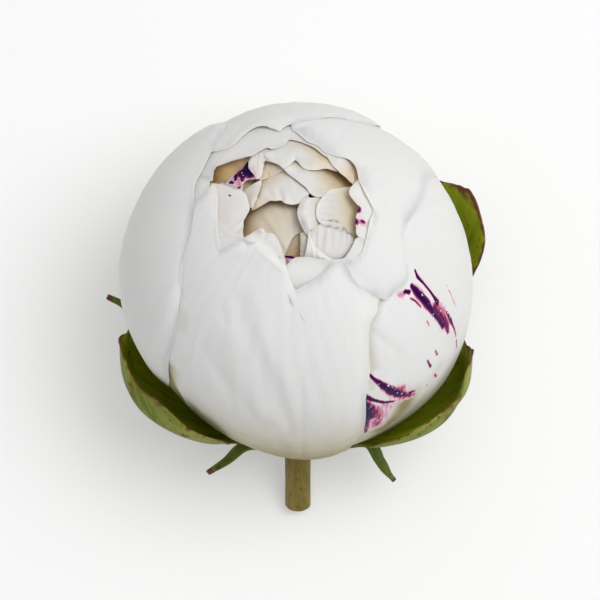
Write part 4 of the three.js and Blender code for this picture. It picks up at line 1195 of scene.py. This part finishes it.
def bract(name, route, width, facing):
    piece, u, v = flat_grid(name, 12, 60)
    line = evenly(route)
    tangent = line(np.clip(v + 0.01, 0, 1)) - line(np.clip(v - 0.01, 0, 1))
    across = np.cross(tangent, np.array(facing, float))
    across /= np.linalg.norm(across, axis=-1, keepdims=True)
    normal = np.cross(across, tangent)
    normal /= np.linalg.norm(normal, axis=-1, keepdims=True)
    s = 2 * u - 1
    keel = 0.5 * s**2 + 0.08 * waves(5, u, v, 5, 0.5, 3)
    place(piece, line(v) + across * (s * evenly(width)(v))[..., None] + normal * keel[..., None])
    paint(piece, "redness", np.clip(0.4 * np.abs(s) ** 8 + smooth((v - 0.86) / 0.14), 0, 1))
    apply(piece, "SOLIDIFY", thickness=BRACT_THICKNESS * MM, offset=0, use_even_offset=False)
    apply(piece, "SUBSURF", levels=1, render_levels=1)
    return piece


for name, form in BRACTS.items():
    piece = bract("bract_%s_fine" % name, *form)
    finish(piece, [bract_green], "bract_green", "bract_" + name)
print("bracts:", len(BRACTS))

# %% [markdown]
# ## The stem
#
# The stem is a round stalk, a little ribbed, that swells to the receptacle under the petals. It is drawn
# up from its cut end by extruding a ring and changing its size at each step, as one would by hand.

# %% Stem
CUT_RADIUS = STEM_RADIUS * 0.93  # the cut end is a little worn
RINGS = [(-59.7, 3.0), (-57, 3.0), (-53, 2.97), (-49, 3.0), (-46, 3.05), (-44.8, 3.3), (-43.6, 4.5),
         (-42.7, 5.5), (-41.5, 5.6), (-36, 5.6), (-32.2, 5.6), (-32, 5.3)]  # height and radius

deselect()
bpy.ops.mesh.primitive_circle_add(vertices=48, radius=CUT_RADIUS, fill_type="NGON",
                                  location=(0, 0, -STEM_END))
stem = bpy.context.active_object
stem.name = stem.data.name = "stem_fine"
bpy.ops.object.transform_apply(location=True)
bpy.ops.object.mode_set(mode="EDIT")
bpy.ops.mesh.select_all(action="SELECT")
below = (-STEM_END, CUT_RADIUS)
for height, radius in RINGS:
    scale = radius / below[1]
    bpy.ops.mesh.extrude_region_move(TRANSFORM_OT_translate={"value": (0, 0, height - below[0])})
    bpy.ops.transform.resize(value=(scale, scale, 1))
    below = (height, radius)
bpy.ops.mesh.select_all(action="SELECT")
bpy.ops.mesh.normals_make_consistent(inside=False)
bpy.ops.object.mode_set(mode="OBJECT")
print("stem faces:", len(stem.data.polygons))

# %% Ribs on the stem
co = points_of(stem)
co[:, :2] *= (1 - 0.012 * (1 + np.cos(7 * np.arctan2(co[:, 1], co[:, 0]))))[:, None]
place(stem, co)
paint(stem, "redness", np.clip(1 - (co[:, 2] + STEM_END) / 0.8, 0, 1) * 0.6)
only(stem)
bpy.ops.object.mode_set(mode="EDIT")
bpy.ops.mesh.select_all(action="SELECT")
bpy.ops.uv.cylinder_project(direction="ALIGN_TO_OBJECT", scale_to_bounds=True)
bpy.ops.object.mode_set(mode="OBJECT")
finish(stem, [stem_green], "stem_green", "stem")
print("stem height over the surface:", round(stem.dimensions.z / MM, 1), "mm")

# %% [markdown]
# ## Floor and light
#
# The flower lies on plain white card. A large soft light high on the right gives the ball its shape. A
# wider one overhead opens up the shade in the heart, and an even white surround fills the rest.

# %% Floor
floor_material, floor_tree = new_material("white_card")
floor_shader = add(floor_tree, "BsdfPrincipled", {
    "Base Color": linear("#cfcfcf"), "Roughness": 0.9, "Specular IOR Level": 0.1,
    "Emission Color": linear("#ffffff"), "Emission Strength": 0.3})
add(floor_tree, "OutputMaterial", {"Surface": floor_shader.outputs["BSDF"]})
deselect()
bpy.ops.mesh.primitive_plane_add(size=6, location=(0, 0, 0))
floor = bpy.context.active_object
floor.name = "floor"
floor.data.materials.append(floor_material)
print("floor:", floor.dimensions.x, "m wide")

# %% Lights
def soft_light(name, position, size, energy):
    data = bpy.data.lights.new(name, "AREA")
    data.shape = "DISK"
    data.size = size
    data.energy = energy
    light = bpy.data.objects.new(name, data)
    light.location = position
    light.rotation_euler = (Vector(position) - BALL_CENTRE).to_track_quat("Z", "Y").to_euler()
    bpy.context.scene.collection.objects.link(light)
    print(name, "light:", size, "m wide,", energy, "W")


soft_light("key", (0.5, 0.05, 1.1), 0.8, 6.6)
soft_light("overhead", (0.15, 0.0, 1.25), 1.1, 4.5)
world = bpy.data.worlds.new("surround")
world.use_nodes = True
background = world.node_tree.nodes["Background"].inputs
background["Color"].default_value = (1, 1, 1, 1)
background["Strength"].default_value = 0.45
bpy.context.scene.world = world
bpy.context.scene.view_settings.view_transform = "Standard"
